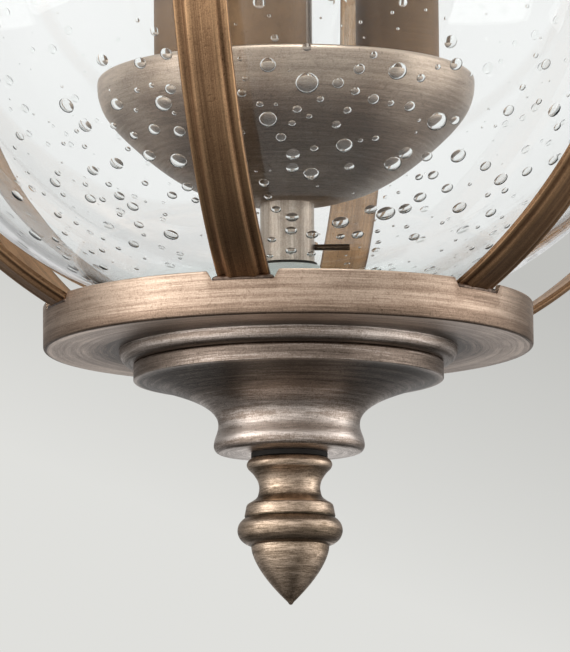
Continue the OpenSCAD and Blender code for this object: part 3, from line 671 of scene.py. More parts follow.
def plain_finish(name, colour, roughness, metal=0.0, scale=300.0, spread=0.25, relief=0.08):
    """A plain moulded, plated or painted finish with a faint mottle and a fine grain."""
    material, tree, shader = new_material(name, {"Metallic": metal})
    here = wired(tree, "ShaderNodeTexCoord").outputs["Object"]
    mottle = stretched(tree, noise_in(tree, here, scale, 3.0, 0.6), 0.3, 0.7)
    darker = tuple(c * (1 - spread) for c in colour)
    feed(tree, shader, {"Base Color": blend_colour(tree, mottle, darker + (1,), colour + (1,)),
                        "Roughness": math_node(tree, "MULTIPLY_ADD", mottle, -0.12, roughness + 0.06)})
    add_relief(tree, shader, noise_in(tree, here, scale * 6, 2.0), relief)
    return material


def sleeve_of(name, inner, outer, foot, top, edge=0.2):
    """A plain turned ring with softened outer edges."""
    return lathe(name, rounded_outline([
        (inner, foot, 0), (outer, foot, edge), (outer, top, edge), (inner, top, 0)]), around=96)


black_rubber = plain_finish("black_rubber", (0.012, 0.0095, 0.007), 0.78, spread=0.4)
washer_radius, washer_foot, washer_top = 11.3, *size_of("finial_washer")[1:]
dress(sleeve_of("finial_washer_ring", thread_radius, washer_radius, washer_foot, washer_top),
      black_rubber, "black_rubber", "finial_washer", "finial_washer")


# Straps: six bronze strips with a raised rib, rolled to one curve round the globe and burnished
# lengthwise, so the edges of rib and flanges show amber. Their feet stand in the rim's notches.
globe_low, globe_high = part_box("glass_globe")
globe_centre = Vector((0, axis_y, (globe_low.z + globe_high.z) / 2))
strap_outer = max((Vector((v.co.x, v.co.y - axis_y, v.co.z - globe_centre.z)).length
                   for v in nodes["strap_1"].data.vertices)) / MM
flange_thickness, rib_height = 1.6, 1.0
strap_inner = strap_outer - flange_thickness - rib_height
foot_height = (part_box("strap_1")[0].z - globe_centre.z) / MM
strap_half = strap_width / 2
# Half the section, from the strap's edge to its middle: (across, outward)
half_section = [(strap_half - in_from_edge, out) for in_from_edge, out in (
    (0.7, 0.0), (0.0, 0.0), (0.0, 0.9), (0.25, 1.35), (0.7, 1.5), (1.6, 1.32), (2.3, 1.3), (2.75, 1.55),
    (3.2, 2.1), (3.7, 2.48), (4.3, 2.6), (5.2, 2.5), (strap_half, 2.42))]
cut_side_wear, inside_painted_light, end_painted_shade = -1.5, 0.5, -0.35


def swept(built, layer, rings, across, lengthwise):
    """Faces from ring to ring, with the UV map that the lengthwise brush lines follow."""
    count = len(rings[0])
    for n in range(len(rings) - 1):
        for k in range(count):
            m = (k + 1) % count
            face = built.faces.new((rings[n][k], rings[n][m], rings[n + 1][m], rings[n + 1][k]))
            for loop, (u, v) in zip(face.loops, ((k, n), (k + 1, n), (k + 1, n + 1), (k, n + 1))):
                loop[layer].uv = (across[u], lengthwise[v])


def strap(name, turn, bits=120):
    """Sweeps the section from the lower cage ring to the upper one, round the globe's centre."""
    section = [Vector(p) for p in half_section + [(-x, out) for x, out in half_section[-2::-1]]]
    # The cut sides keep their dark patina and the outer lip and the rib are rubbed; the inside is painted
    # lighter, a painted highlight where it catches the light
    wear = [w + cut_side_wear if p.y < 1.0 and abs(p.x) > strap_half - 0.1
            else max(w, inside_painted_light) if p.y == 0 else w for w, p in zip(edge_wear(section), section)]
    built = bmesh.new()
    layer = built.verts.layers.float.new("wear")
    map_layer = built.loops.layers.uv.new("along")
    spoke = Vector((math.cos(turn), math.sin(turn), 0))
    tangent = Vector((-math.sin(turn), math.cos(turn), 0))
    rings = []
    for n in range(bits + 1):
        ring = []
        from_end = min(n, bits - n)
        for point, proud in zip(section, wear):
            radius = strap_inner + point.y
            reach = math.acos(-foot_height / radius)
            a = -math.pi / 2 + reach + (math.pi - 2 * reach) * n / bits
            across = point.x * (1 + 0.06 * max(0.0, 1 - from_end / 5))
            spot = spoke * radius * math.cos(a) + Vector((0, 0, radius * math.sin(a))) + tangent * across
            ring.append(built.verts.new(globe_centre + spot * MM))
            # Painted shade towards both ends, where the feet meet the discs
            ring[-1][layer] = proud + end_painted_shade * max(0.0, 1 - from_end / 14)
        rings.append(ring)
    girth = [0.0]
    for p, q in zip(section, section[1:] + section[:1]):
        girth.append(girth[-1] + (q - p).length * MM)
    length = strap_outer * MM * (math.pi - 2 * math.acos(-foot_height / strap_outer))
    swept(built, map_layer, rings, girth, [length * n / bits for n in range(bits + 1)])
    built.faces.new(rings[0][::-1])
    built.faces.new(rings[-1])
    bmesh.ops.recalc_face_normals(built, faces=built.faces)
    return piece_from(name, built, sharp=60)


def geometry_tree(name, *sockets):
    """An empty Geometry Nodes tree: the tree, its input sockets and their identifiers."""
    group = bpy.data.node_groups.new(name, "GeometryNodeTree")
    identifiers = add_sockets(group, "INPUT", ("Geometry", "Geometry"), *sockets)
    add_sockets(group, "OUTPUT", ("Geometry", "Geometry"))
    return group, wired(group, "NodeGroupInput").outputs, identifiers


def realized(group, copies, material):
    """Ends a tree: the copies become one mesh in that material."""
    solid = wired(group, "GeometryNodeRealizeInstances", {0: copies})
    paint = wired(group, "GeometryNodeSetMaterial", {"Geometry": solid.outputs[0], "Material": material})
    wired(group, "NodeGroupOutput", {0: paint.outputs[0]})


def ring_tree():
    """Turns copies of one piece round the lantern's middle line."""
    group, source, identifiers = geometry_tree(
        "copies_round_the_middle", ("Piece", "Object"), ("Count", "Int", 6), ("Middle", "Vector"),
        ("Finish", "Material"))
    first = wired(group, "GeometryNodeObjectInfo", {"Object": source["Piece"]})
    instance = wired(group, "GeometryNodeGeometryToInstance", {0: first.outputs["Geometry"]})
    copies = wired(group, "GeometryNodeDuplicateElements", domain="INSTANCE", inputs={
        "Geometry": instance.outputs[0], "Amount": source["Count"]})
    step = math_node(group, "DIVIDE", 2 * math.pi, source["Count"])
    turn = wired(group, "FunctionNodeAxisAngleToRotation", {
        "Axis": (0, 0, 1), "Angle": math_node(group, "MULTIPLY", copies.outputs["Duplicate Index"], step)})
    turned = wired(group, "GeometryNodeRotateInstances", {
        "Instances": copies.outputs["Geometry"], "Rotation": turn.outputs[0], "Pivot Point": source["Middle"],
        "Local Space": False})
    realized(group, turned.outputs[0], source["Finish"])
    return group, identifiers


copies_round, copies_inputs = ring_tree()


def ring_of(name, piece, count, material):
    """One mesh of that many copies of the piece, evenly round the lantern's middle line."""
    holder = object_of(name, bpy.data.meshes.new(name))
    turned = holder.modifiers.new("copies", "NODES")
    turned.node_group = copies_round
    for label, value in (("Piece", piece), ("Count", count), ("Middle", (0, axis_y, 0)),
                         ("Finish", material)):
        turned[copies_inputs[label]] = value
    holder.data = baked(holder)
    bpy.data.objects.remove(piece)
    return holder


def lines_along(tree):
    """The piece's own UV map, in metres across and along it, drawn out lengthwise."""
    own = wired(tree, "ShaderNodeUVMap", uv_map="along").outputs[0]
    drawn = wired(tree, "ShaderNodeMapping", {"Vector": own, "Scale": (2400, 30, 1)}).outputs[0]
    return drawn, wired(tree, "ShaderNodeTexCoord").outputs["Object"]


strap_bronze = burnished("strap_bronze", (0.085, 0.044, 0.022), (0.345, 0.20, 0.108), (0.78, 0.475, 0.255),
                         lines_along, depth=0.5, roughness=0.34, relief=0.3)
dress(ring_of("ribbed_straps", strap("first_strap", strap_turns[0]), strap_count, strap_bronze),
      None, "dark_bronze", "lantern", *[f"strap_{n}" for n in range(1, strap_count + 1)])

# Each foot is soldered in its notch: a low dark bead of solder across the strap's outer face, whose dark
# colour also paints the shade in the gap under the foot.
solder_reach, solder_height, solder_squareness = 71.4, 1.05, 0.35
solder = bmesh.new()
bmesh.ops.create_uvsphere(solder, u_segments=28, v_segments=12, radius=1.0)
for vertex in solder.verts:
    x, y, z = vertex.co
    vertex.co = in_lantern @ (Vector((math.copysign(abs(x) ** solder_squareness, x) * (strap_half + 1.35),
                                      y - solder_reach, z * solder_height - notch_depth + 0.6)) * MM)
upside_down = solder.copy()
for vertex in upside_down.verts:
    vertex.co.z = 2 * globe_centre.z - vertex.co.z
bmesh.ops.reverse_faces(upside_down, faces=upside_down.faces)
solder_bronze_and_shade = plain_finish("solder_bronze_and_shade", (0.19, 0.135, 0.105), 0.34, metal=1.0, spread=0.7, scale=700.0)
for name, bead in (("lower_solder_beads", solder), ("upper_solder_beads", upside_down)):
    dress(ring_of(name, piece_from(name + "_first", bead), strap_count, solder_bronze_and_shade), None, "dark_bronze",
          "lantern")
dark_bronze = plain_finish("cage_bronze", (0.16, 0.105, 0.068), 0.36, metal=1.0, spread=0.5, scale=160.0)


def repaint(material, *names):
    """Gives CAD nodes that stay as they are their finish."""
    for name in names:
        for slot in nodes[name].material_slots:
            slot.material = material


repaint(dark_bronze, "lower_cage_ring", "upper_cage_ring")


# Tubes: drawn pewter-coloured tubes round the centre rod, brushed along their length. The lower
# one stands in a pale nylon collar, under a dark washer, and a dark pin locks it to the rod.
tube_pewter = burnished("tube_pewter", (0.20, 0.165, 0.135), (0.42, 0.355, 0.30), (0.74, 0.64, 0.54),
                        lines_up(in_lantern), depth=0.55, roughness=0.26, relief=0.12)
zinc_plate = plain_finish("zinc_plate", (0.60, 0.60, 0.59), 0.34, metal=1.0, scale=420.0)
pin_bronze = plain_finish("pin_bronze", (0.10, 0.068, 0.046), 0.4, metal=1.0, spread=0.5)
repaint(tube_pewter, "lower_tube", "upper_tube")
repaint(pin_bronze, "lock_pin")
repaint(zinc_plate, "centre_rod", "cluster_hub", "socket_plate", "lower_globe_seat", "upper_globe_seat")
repaint(black_rubber, "lower_glass_gasket", "upper_glass_gasket")
collar_foot, collar_top, tube_radius = 2.0, 12.6, 8.0
nylon = plain_finish("nylon", (0.80, 0.82, 0.80), 0.4, spread=0.08)
dress(lathe("nylon_collar", rounded_outline([
    (tube_radius + 0.05, collar_foot, 0), (tube_radius + 1.7, collar_foot, 0.4),
    (tube_radius + 1.7, collar_top, 0.5), (tube_radius + 0.05, collar_top, 0)]), around=96),
    nylon, "cream_plastic", "lantern")
dress(sleeve_of("dark_tube_washer", tube_radius + 0.02, tube_radius + 0.8, collar_top, collar_top + 0.8),
      black_rubber, "black_rubber", "lantern")


# Dish: a shallow spun bowl with an upright rim, brushed round and left a pewter brown.
# It carries the candles and hides their wiring.
dish_radius, dish_foot, dish_top = size_of("dish")
dish_height, dish_wall, rim_round = dish_top - dish_foot, 1.5, 1.6
# (radius, height over the dish's foot)
bowl_side = [(9.5, 0), (14, 0.55), (18, 1.5), (25.3, 3.9), (31.7, 7.2), (37.9, 11.4), (44.4, 16.8),
             (50.3, 22.5), (54.0, 27.4), (55.6, 31.6), (dish_radius, 34.4),
             (dish_radius, dish_height - rim_round)]
bowl_outer = smooth_line(bowl_side, 4)
bowl_rim = [(dish_radius - rim_round + rim_round * math.cos(a),
             dish_height - rim_round + rim_round * math.sin(a))
            for a in round_from(0, 180, 8, first=1)[:-1]]
bowl_inner = [(max(p.x - dish_wall - (1.7 if p.y > 30 else 0), rod_hole + 0.1),
               min(p.y + dish_wall, dish_height - rim_round)) for p in bowl_outer[::-2]]
bowl_outline = [(rod_hole, 0), *bowl_outer, *bowl_rim, *bowl_inner, (rod_hole, dish_wall)]
dish_pewter = burnished("dish_pewter", (0.10, 0.074, 0.056), (0.27, 0.203, 0.158), (0.62, 0.50, 0.40),
                        lines_round(in_lantern, turns=9.0), depth=0.4, roughness=0.3, relief=0.2)
# Painted highlight on the upright rim, where it mirrors the bright room, and a touch of painted shade at the
# foot
dish_painted_highlight = painted_light_by_height((dish_top, 0.6), (dish_top - 9, 0.5), (dish_top - 14, 0.0), (dish_foot, -0.1))
dress(lathe("brushed_dish", [(r, z + dish_foot) for r, z in bowl_outline], shade=dish_painted_highlight),
      dish_pewter, "burnished_bronze", "lantern", "dish")


# Candles: three card sleeves with a satin bronze paint over cream lampholders, each with a clear
# candle bulb whose screw cap has a rolled thread. Warm filaments stand on a glass stem.
candle_count, card = 3, 1.2
numbers = range(1, candle_count + 1)
sleeve_radius, sleeve_foot, sleeve_top = size_of("sleeve_1")
sleeve_low, sleeve_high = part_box("sleeve_1")
candle_reach = axis_y - (sleeve_low.y + sleeve_high.y) / 2


def at_candle(number):
    turn = -math.pi / 2 + 2 * math.pi / candle_count * (number - 1)
    return Matrix.Translation(rim_middle + Vector((math.cos(turn), math.sin(turn), 0)) * candle_reach)


sleeve_paint = burnished("sleeve_paint", (0.035, 0.021, 0.010), (0.115, 0.064, 0.028), (0.24, 0.135, 0.062),
                         lines_up(at_candle(1), 9.0, 900.0), depth=0.3, roughness=0.5, relief=0.05,
                         metal=0.35)
sleeve = lathe("first_sleeve", rounded_outline([
    (sleeve_radius - card, sleeve_foot, 0), (sleeve_radius, sleeve_foot, 0), (sleeve_radius, sleeve_top, 0.6),
    (sleeve_radius - card, sleeve_top, 0.4)]), at_candle(1), around=96)
dress(ring_of("candle_sleeves", sleeve, candle_count, sleeve_paint), None, "candle_card", "lantern",
      *[f"sleeve_{n}" for n in numbers])
cream_plastic = plain_finish("cream_plastic", (0.78, 0.74, 0.64), 0.42, spread=0.08)
repaint(cream_plastic, *[f"lampholder_{n}" for n in numbers], "terminal_block")
cap_brass = plain_finish("cap_brass", (0.72, 0.66, 0.50), 0.24, metal=1.0, spread=0.15, scale=500.0)
repaint(cap_brass, *[f"contact_{n}" for n in numbers])


def clear_glass(name, tint, edge_tint=None):
    """Clear glass that lets lamp light through to what it covers; its heel may be greener."""
    material, tree, shader = new_material(name, {"Transmission Weight": 1.0, "IOR": 1.5, "Roughness": 0.0})
    here = wired(tree, "ShaderNodeTexCoord").outputs["Object"]
    streaks = stretched(tree, noise_in(tree, here, 22.0, 3.0), 0.25, 0.8)
    colour = blend_colour(tree, streaks, tint + (1,), tuple(c * 0.985 for c in tint) + (1,))
    if edge_tint:
        height = wired(tree, "ShaderNodeSeparateXYZ", {0: here}).outputs[2]
        from_middle = math_node(tree, "ABSOLUTE", math_node(tree, "SUBTRACT", height, globe_centre.z))
        heel = fade(tree, from_middle, globe_radius * 0.885, globe_radius * 0.945)
        colour = blend_colour(tree, heel, colour, edge_tint + (1,))
    feed(tree, shader, {"Base Color": colour})
    add_relief(tree, shader, noise_in(tree, here, 14.0, 2.0), 0.08, distance=2 * MM)
    # Sight lines that have crossed many seeds go straight on, so the seeds don't turn black
    ray = wired(tree, "ShaderNodeLightPath").outputs
    deep = math_node(tree, "GREATER_THAN", ray["Ray Depth"], 6.5)
    clear_where(tree, math_node(tree, "MAXIMUM", ray["Is Shadow Ray"], deep), shader, (0.97, 0.98, 0.975, 1))
    return material


bulb_glass = clear_glass("bulb_glass", (1.0, 0.985, 0.96))
cap_foot = size_of("bulb_cap_1")[1]
bulb_radius, bulb_foot, bulb_top = size_of("bulb_1")
bulb_height = bulb_top - bulb_foot
cap_radius, cap_play, glass_wall = 6.8, 0.02, 0.8
thread_pitch, thread_depth, thread_top, skirt_foot = 2.82, 0.42, 16.5, 20.0
belly, shoulder = 0.36, 0.14
stem_radius, post_radius, post_count, post_reach = 2.4, 0.55, 4, 2.8
filament_low, filament_high = (bulb_foot + bulb_height * share for share in (0.22, 0.60))


def between(low, value, high):
    return max(low, min(high, value))


def threaded_cap(name, place, around=64, rows=110):
    """A screw cap with a rolled right-hand thread, a plain skirt and a rounded end."""
    built = bmesh.new()
    rings = []
    for row in range(rows + 1):
        z = (bulb_foot - cap_foot) * row / rows
        fading = between(0.0, min((thread_top - z) / 1.5, z / 1.2), 1.0)
        rounding = 1.6 * max(0.0, 1 - z / 1.4) ** 2 + 0.25 * between(0.0, (z - skirt_foot) / 1.5, 1.0)
        rings.append(circle(built, place, lambda a: cap_radius - cap_play - rounding - thread_depth * fading
                            * (1 - math.cos(2 * math.pi * z / thread_pitch - a)), cap_foot + z, around))
    skin(built, rings)
    built.faces.new(rings[0][::-1])
    built.faces.new(rings[-1])
    return piece_from(name, built, sharp=60)


def bulb_side(inset=0.0):
    """The bulb's side from its foot to its tip, drawn in by the inset."""
    foot = cap_radius - 0.1
    side = [(foot + (bulb_radius - foot) * math.sin(a), belly * bulb_height * n / 10)
            for n, a in enumerate(round_from(0, 90, 10))]
    side += [(bulb_radius * math.cos(a) * (1 - shoulder * math.sin(2 * a)),
              bulb_height * (belly + (1 - belly) * math.sin(a))) for a in round_from(0, 90, 22, first=1)[:-1]]
    side.append((0.0, bulb_height))
    return [(max(x - inset, 0.0), bulb_foot + inset + z * (1 - 2 * inset / bulb_height)) for x, z in side]


def filaments(name, place):
    """Four upright filaments round the stem's middle line."""
    posts = bmesh.new()
    for k in range(post_count):
        a = math.pi / 4 + 2 * math.pi / post_count * k
        middle = Vector((post_reach * math.cos(a), post_reach * math.sin(a),
                         (filament_low + filament_high) / 2)) * MM
        thin = Matrix.Diagonal((post_radius * MM, post_radius * MM, 1, 1))
        bmesh.ops.create_cone(posts, cap_ends=True, segments=12, radius1=1, radius2=1,
                              depth=(filament_high - filament_low) * MM,
                              matrix=place @ Matrix.Translation(middle) @ thin)
    return piece_from(name, posts)


filament_glow = plain_finish("filament_glow", (0.95, 0.62, 0.22), 0.5, spread=0.12, scale=1500.0)
bulb_outline = [(0.0, bulb_foot + 0.01), *bulb_side(), *bulb_side(glass_wall)[::-1],
                (0.0, bulb_foot + glass_wall)]
stem_foot = bulb_foot + glass_wall + 0.05
stem_outline = [(0.0, stem_foot), (stem_radius + 1.6, stem_foot), (stem_radius + 0.4, bulb_foot + 3.5),
                (stem_radius, filament_low - 1.5), (1.6, filament_low), (0.0, filament_low + 0.2)]
for n in numbers:
    place, body = at_candle(n), f"bulb_{n}"
    dress(threaded_cap(f"threaded_cap_{n}", place), cap_brass, "bulb_cap", body, f"bulb_cap_{n}")
    dress(lathe(f"candle_bulb_{n}", bulb_outline, place, around=64), bulb_glass, "bulb_glass", body,
          f"bulb_{n}")
    dress(lathe(f"glass_stem_{n}", stem_outline, place, around=32), bulb_glass, "bulb_glass", body)
    dress(filaments(f"filaments_{n}", place), filament_glow, "bulb_glass", body)


# Globe: clear blown glass, 4 mm thick, with round seeds of trapped air. The larger seeds on the
# side that faces the camera lie where they were seen; the rest are scattered by a fixed seed.
globe_radius = (globe_high.x - globe_low.x) / 2
glass_thickness, mouth_radius = 4.0, 40.0
middle_radius = globe_radius - glass_thickness / 2 * MM
seed_flatness, thickest_seed = 0.13, 1.7
# Seeds as seen in the picture: column, row and width, in pixels
seen_seeds = [
    (268, 64, 15), (307, 82, 22), (397, 70, 18), (359, 68, 11), (373, 54, 8), (338, 82, 11), (355, 90, 9),
    (373, 98, 11), (390, 102, 7), (409, 105, 11), (436, 120, 20), (454, 119, 10), (420, 77, 9),
    (437, 66, 6), (455, 63, 13), (242, 92, 9), (260, 103, 7), (276, 103, 4), (268, 118, 17),
    (297, 108, 9), (309, 115, 6), (320, 98, 7), (347, 109, 8), (292, 122, 7), (281, 136, 10),
    (243, 131, 5), (314, 147, 8), (344, 144, 16), (360, 139, 5), (375, 137, 7), (418, 119, 4),
    (415, 131, 3), (167, 53, 12), (141, 62, 12), (171, 88, 11), (164, 102, 17), (138, 89, 6),
    (118, 103, 13), (137, 109, 5), (155, 128, 12), (135, 134, 9), (180, 130, 12), (175, 112, 5),
    (129, 147, 6), (392, 162, 17), (311, 172, 15), (179, 159, 17), (150, 154, 13), (457, 154, 16),
    (507, 109, 12), (537, 100, 7), (484, 164, 12), (499, 177, 15), (503, 188, 8), (525, 169, 12),
    (551, 158, 12), (555, 125, 9), (426, 155, 11), (432, 173, 11), (418, 175, 8), (446, 186, 12),
    (419, 195, 13), (458, 205, 15), (489, 210, 12), (500, 214, 5), (505, 223, 7), (441, 220, 5),
    (413, 234, 11), (476, 224, 5), (454, 237, 4), (440, 247, 4), (470, 245, 6), (487, 243, 9),
    (544, 63, 11), (268, 195, 8), (276, 207, 10), (291, 228, 12), (272, 237, 9), (291, 248, 11),
    (312, 232, 12), (270, 253, 7), (311, 251, 9), (264, 181, 10), (385, 211, 19), (340, 220, 17),
    (357, 232, 12), (134, 204, 12), (121, 212, 6), (140, 222, 10), (145, 232, 5), (172, 232, 15),
    (135, 241, 11), (104, 197, 7), (120, 245, 6), (104, 247, 7), (166, 212, 5), (173, 193, 10),
    (188, 185, 11), (196, 198, 8), (78, 220, 6), (67, 230, 7), (58, 236, 9), (38, 232, 15), (65, 192, 6),
    (46, 191, 5), (87, 182, 6), (110, 182, 7), (146, 181, 7), (138, 265, 5), (146, 255, 4), (181, 255, 4),
    (68, 104, 16), (22, 134, 10), (57, 180, 12), (92, 196, 12), (60, 212, 9)
]


def seed_place(column, row):
    """Where the sight line through that pixel of the picture meets the middle of the glass."""
    way = (aim + from_middle_of_picture(column, row) - camera_place).normalized()
    offset = camera_place - globe_centre
    half_b = way.dot(offset)
    inside = half_b ** 2 - offset.length_squared + middle_radius ** 2
    return camera_place + way * (-half_b - math.sqrt(max(inside, 0)))


seed_marks = bpy.data.meshes.new("seed_marks")
seed_marks.from_pydata([seed_place(column, row) for column, row, width in seen_seeds], [], [])
marks_object = object_of("seed_marks", seed_marks)

# The scattered seeds lie on a band that is built ring by ring, so they come out the same in every run
band_reach, band_rows, band_around = 67.5, 48, 96
shell = bmesh.new()
skin(shell, [circle(shell, Matrix.Translation(globe_centre), middle_radius / MM * math.cos(a),
                    middle_radius / MM * math.sin(a), band_around)
             for a in round_from(-band_reach, 2 * band_reach, band_rows)])
seeds_object = piece_from("middle_of_glass", shell, smooth=False)


def seed_tree(material):
    """Scatters flat round bubbles over a surface, clear of the ones placed one by one."""
    group, source, identifiers = geometry_tree(
        "scattered_seeds", ("Density", "Float", 11000.0), ("Spacing", "Float", 3.8 * MM),
        ("Smallest", "Float", 0.35 * MM), ("Largest", "Float", 2.3 * MM),
        ("Flatness", "Float", seed_flatness), ("Clearance", "Float", 4.5 * MM), ("Placed By Eye", "Object"))
    spread = wired(group, "GeometryNodeDistributePointsOnFaces", distribute_method="POISSON", inputs={
        "Mesh": source["Geometry"], "Density Max": source["Density"], "Distance Min": source["Spacing"],
        "Seed": 7})
    placed = wired(group, "GeometryNodeObjectInfo", {"Object": source["Placed By Eye"]})
    near = wired(group, "GeometryNodeProximity", {0: placed.outputs["Geometry"]}, target_element="POINTS")
    too_near = wired(group, "FunctionNodeCompare", data_type="FLOAT", operation="LESS_THAN", inputs={
        0: near.outputs["Distance"], 1: source["Clearance"]})
    thinned = wired(group, "GeometryNodeDeleteGeometry", domain="POINT", inputs={
        "Geometry": spread.outputs["Points"], "Selection": too_near.outputs[0]})
    # Most seeds are small: a chance between 0 and 1, raised to a power
    chance = wired(group, "FunctionNodeRandomValue", {"Seed": 3}, data_type="FLOAT").outputs[1]
    width = wired(group, "ShaderNodeMapRange", {
        "Value": math_node(group, "POWER", chance, 2.6), "To Min": source["Smallest"],
        "To Max": source["Largest"]}).outputs[0]
    size = wired(group, "ShaderNodeCombineXYZ", {
        0: width, 1: width, 2: math_node(group, "MULTIPLY", width, source["Flatness"])})
    ball = wired(group, "GeometryNodeMeshUVSphere", {"Radius": 1.0, "Segments": 12, "Rings": 4})
    copies = wired(group, "GeometryNodeInstanceOnPoints", {
        "Points": thinned.outputs[0], "Instance": ball.outputs["Mesh"],
        "Rotation": spread.outputs["Rotation"], "Scale": size.outputs[0]})
    realized(group, copies.outputs[0], material)
    return group, identifiers


globe_glass = clear_glass("seeded_glass", (0.985, 0.995, 0.99), edge_tint=(0.80, 0.90, 0.87))
scatter = seeds_object.modifiers.new("scatter", "NODES")
scatter.node_group, inputs = seed_tree(globe_glass)
scatter[inputs["Placed By Eye"]] = marks_object
blown = bmesh.new()
blown.from_mesh(baked(seeds_object))
bpy.data.objects.remove(seeds_object)
bpy.data.objects.remove(marks_object)

for column, row, width in seen_seeds:
    place = seed_place(column, row)
    turned = (place - globe_centre).normalized().to_track_quat("Z", "Y").to_matrix().to_4x4()
    radius = width * pixel / 2
    shape = Matrix.Diagonal((radius, radius, min(radius * seed_flatness, thickest_seed * MM), 1))
    bmesh.ops.create_icosphere(blown, subdivisions=3 if width > 9 else 2, radius=1.0,
                               matrix=Matrix.Translation(place) @ turned @ shape)
bmesh.ops.reverse_faces(blown, faces=blown.faces)


def glass_wall_rings(radius, way, rows=48, around=192):
    """Rings of one side of the globe's wall, from mouth to mouth, upwards where the way is 1."""
    limit = math.asin(math.sqrt(radius ** 2 - mouth_radius ** 2) / radius)
    angles = [way * (-limit + 2 * limit * n / rows) for n in range(rows + 1)]
    return [circle(blown, Matrix.Translation(globe_centre), radius * math.cos(a), radius * math.sin(a),
                   around) for a in angles]


outer = globe_radius / MM
skin(blown, glass_wall_rings(outer, 1) + glass_wall_rings(outer - glass_thickness, -1), closed=True)
dress(piece_from("seeded_globe", blown, sharp=60), globe_glass, "seeded_glass", "lantern", "glass_globe")


# Roof: the top disc is the base disc turned over. On it lie the same rolled ring and a spun dome
# whose neck carries the cup that closes round the end of the arm.
dress(spun_disc("burnished_top_disc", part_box("top_disc")[0].z, flip=True),
      turned_bronze, "burnished_bronze", "lantern", "top_disc")
_, roof_ring_foot, roof_ring_top = size_of("roof_ring")
dress(lathe("burnished_roof_ring", rolled_ring(roof_ring_foot, roof_ring_top, ring_radius)),
      bell_bronze, "burnished_bronze", "lantern", "roof_ring")
_, dome_foot, dome_top = size_of("roof_dome")
dome_neck, dome_shoulder, neck_height = 13.0, 4.0, 4.0
dome_band = dome_foot + band_height
dome_outline = rounded_outline([(rod_hole, dome_foot, 0), (cup_radius, dome_foot, 0.5),
                                (cup_radius, dome_band, 0.8),
                                (cup_radius - dome_shoulder + 0.6, dome_band, 0.5)])[:-1]
dome_outline += [(dome_neck + (cup_radius - dome_shoulder - dome_neck) * math.cos(a),
                  dome_band + (dome_top - dome_band - neck_height) * math.sin(a))
                 for a in round_from(0, 90, 30, first=1)[:-1]]
dome_outline += [(dome_neck + 0.5, dome_top - 3.9), (dome_neck, dome_top - 3.2), (dome_neck, dome_top),
                 (rod_hole, dome_top)]
dress(lathe("burnished_roof_dome", dome_outline), bell_bronze, "burnished_bronze", "lantern", "roof_dome")
arm_cup_radius, arm_cup_foot, arm_cup_top = size_of("arm_cup")
arm_radius, arm_play, cup_bead, cup_lip = 8.0, 0.08, 2.4, 9.4
cup_side = [(arm_cup_radius - cup_bead + cup_bead * math.cos(a),
             arm_cup_foot + cup_bead + cup_bead * math.sin(a)) for a in round_from(-90, 155, 10)]
cove_radius, cove_foot = cup_side[-1]
cup_side += [(cup_lip + (cove_radius - cup_lip) * (1 - t) ** 2,
              cove_foot + (arm_cup_top - 1.6 - cove_foot) * t) for t in (n / 12 for n in range(1, 13))]
cup_side += [(cup_lip + 0.25, arm_cup_top - 1.1), (cup_lip + 0.25, arm_cup_top - 0.4),
             (cup_lip - 0.2, arm_cup_top)]
arm_bore = arm_radius + arm_play
dress(lathe("turned_arm_cup",
            [(rod_hole, arm_cup_foot), *cup_side, (arm_bore, arm_cup_top), (arm_bore, arm_cup_foot + 3),
             (rod_hole, arm_cup_foot + 3)], around=128),
      finial_bronze, "burnished_bronze", "lantern", "arm_cup")


# Arm: one tube, bent up from the wall plate and over in a crook, burnished along its length.
# Its lower end is bushed for the centre rod.
arm_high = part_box("arm")[1]
arm_inner, around_tube = arm_radius - 2.0, 48
bend_radius, riser_y = 50.0, -85.0
crook_radius = (riser_y - axis_y / MM) / 2
crook_z = arm_high.z / MM - crook_radius - arm_radius
arm_end_z = dome_top + 3.0


def at(y, z):
    return Vector((0, y, z))


arm_path = [at(arm_high.y / MM, 0), at(riser_y + bend_radius, 0)]
arm_path += [at(riser_y + bend_radius - bend_radius * math.sin(a), bend_radius - bend_radius * math.cos(a))
             for a in round_from(0, 90, 20, first=1)]
arm_path += [at(riser_y - crook_radius + crook_radius * math.cos(a), crook_z + crook_radius * math.sin(a))
             for a in round_from(0, 180, 40)]
arm_path += [at(axis_y / MM, arm_end_z + rim_z / MM)]
arm_tube = bmesh.new()
tube_map = arm_tube.loops.layers.uv.new("along")
walls, lengths, gone = {arm_radius: [], arm_inner: []}, [], 0.0
for i, spot in enumerate(arm_path):
    ahead = (arm_path[min(i + 1, len(arm_path) - 1)] - arm_path[max(i - 1, 0)]).normalized()
    # The ring's own Z axis points along the tube
    sideways = Vector((1, 0, 0))
    upright = sideways.cross(ahead)
    ring_place = Matrix((sideways, upright, ahead)).transposed().to_4x4()
    ring_place.translation = spot * MM
    gone += (spot - arm_path[i - 1]).length * MM if i else 0.0
    lengths.append(gone)
    for radius, rings in walls.items():
        rings.append(circle(arm_tube, ring_place, radius, 0, around_tube))
girth = 2 * math.pi * arm_radius * MM
for rings in walls.values():
    swept(arm_tube, tube_map, rings, [girth * n / around_tube for n in range(around_tube + 1)], lengths)
for end in (0, -1):
    skin(arm_tube, [walls[arm_radius][end], walls[arm_inner][end]])
bmesh.ops.recalc_face_normals(arm_tube, faces=arm_tube.faces)
bronze_dark, _, bronze_bright = bronze_tones
arm_bronze = burnished("arm_bronze", bronze_dark, (0.31, 0.22, 0.16), bronze_bright, lines_along,
                       depth=0.7, roughness=0.3)
dress(piece_from("bent_arm", arm_tube), arm_bronze, "burnished_bronze", "lantern", "arm")
bush_bore, bush_top = 5.08, arm_end_z + 16.0
dress(lathe("arm_end_bush",
            [(bush_bore, arm_end_z), (arm_inner, arm_end_z), (arm_inner, bush_top), (bush_bore, bush_top)],
            around=64), zinc_plate, "zinc_steel", "lantern")


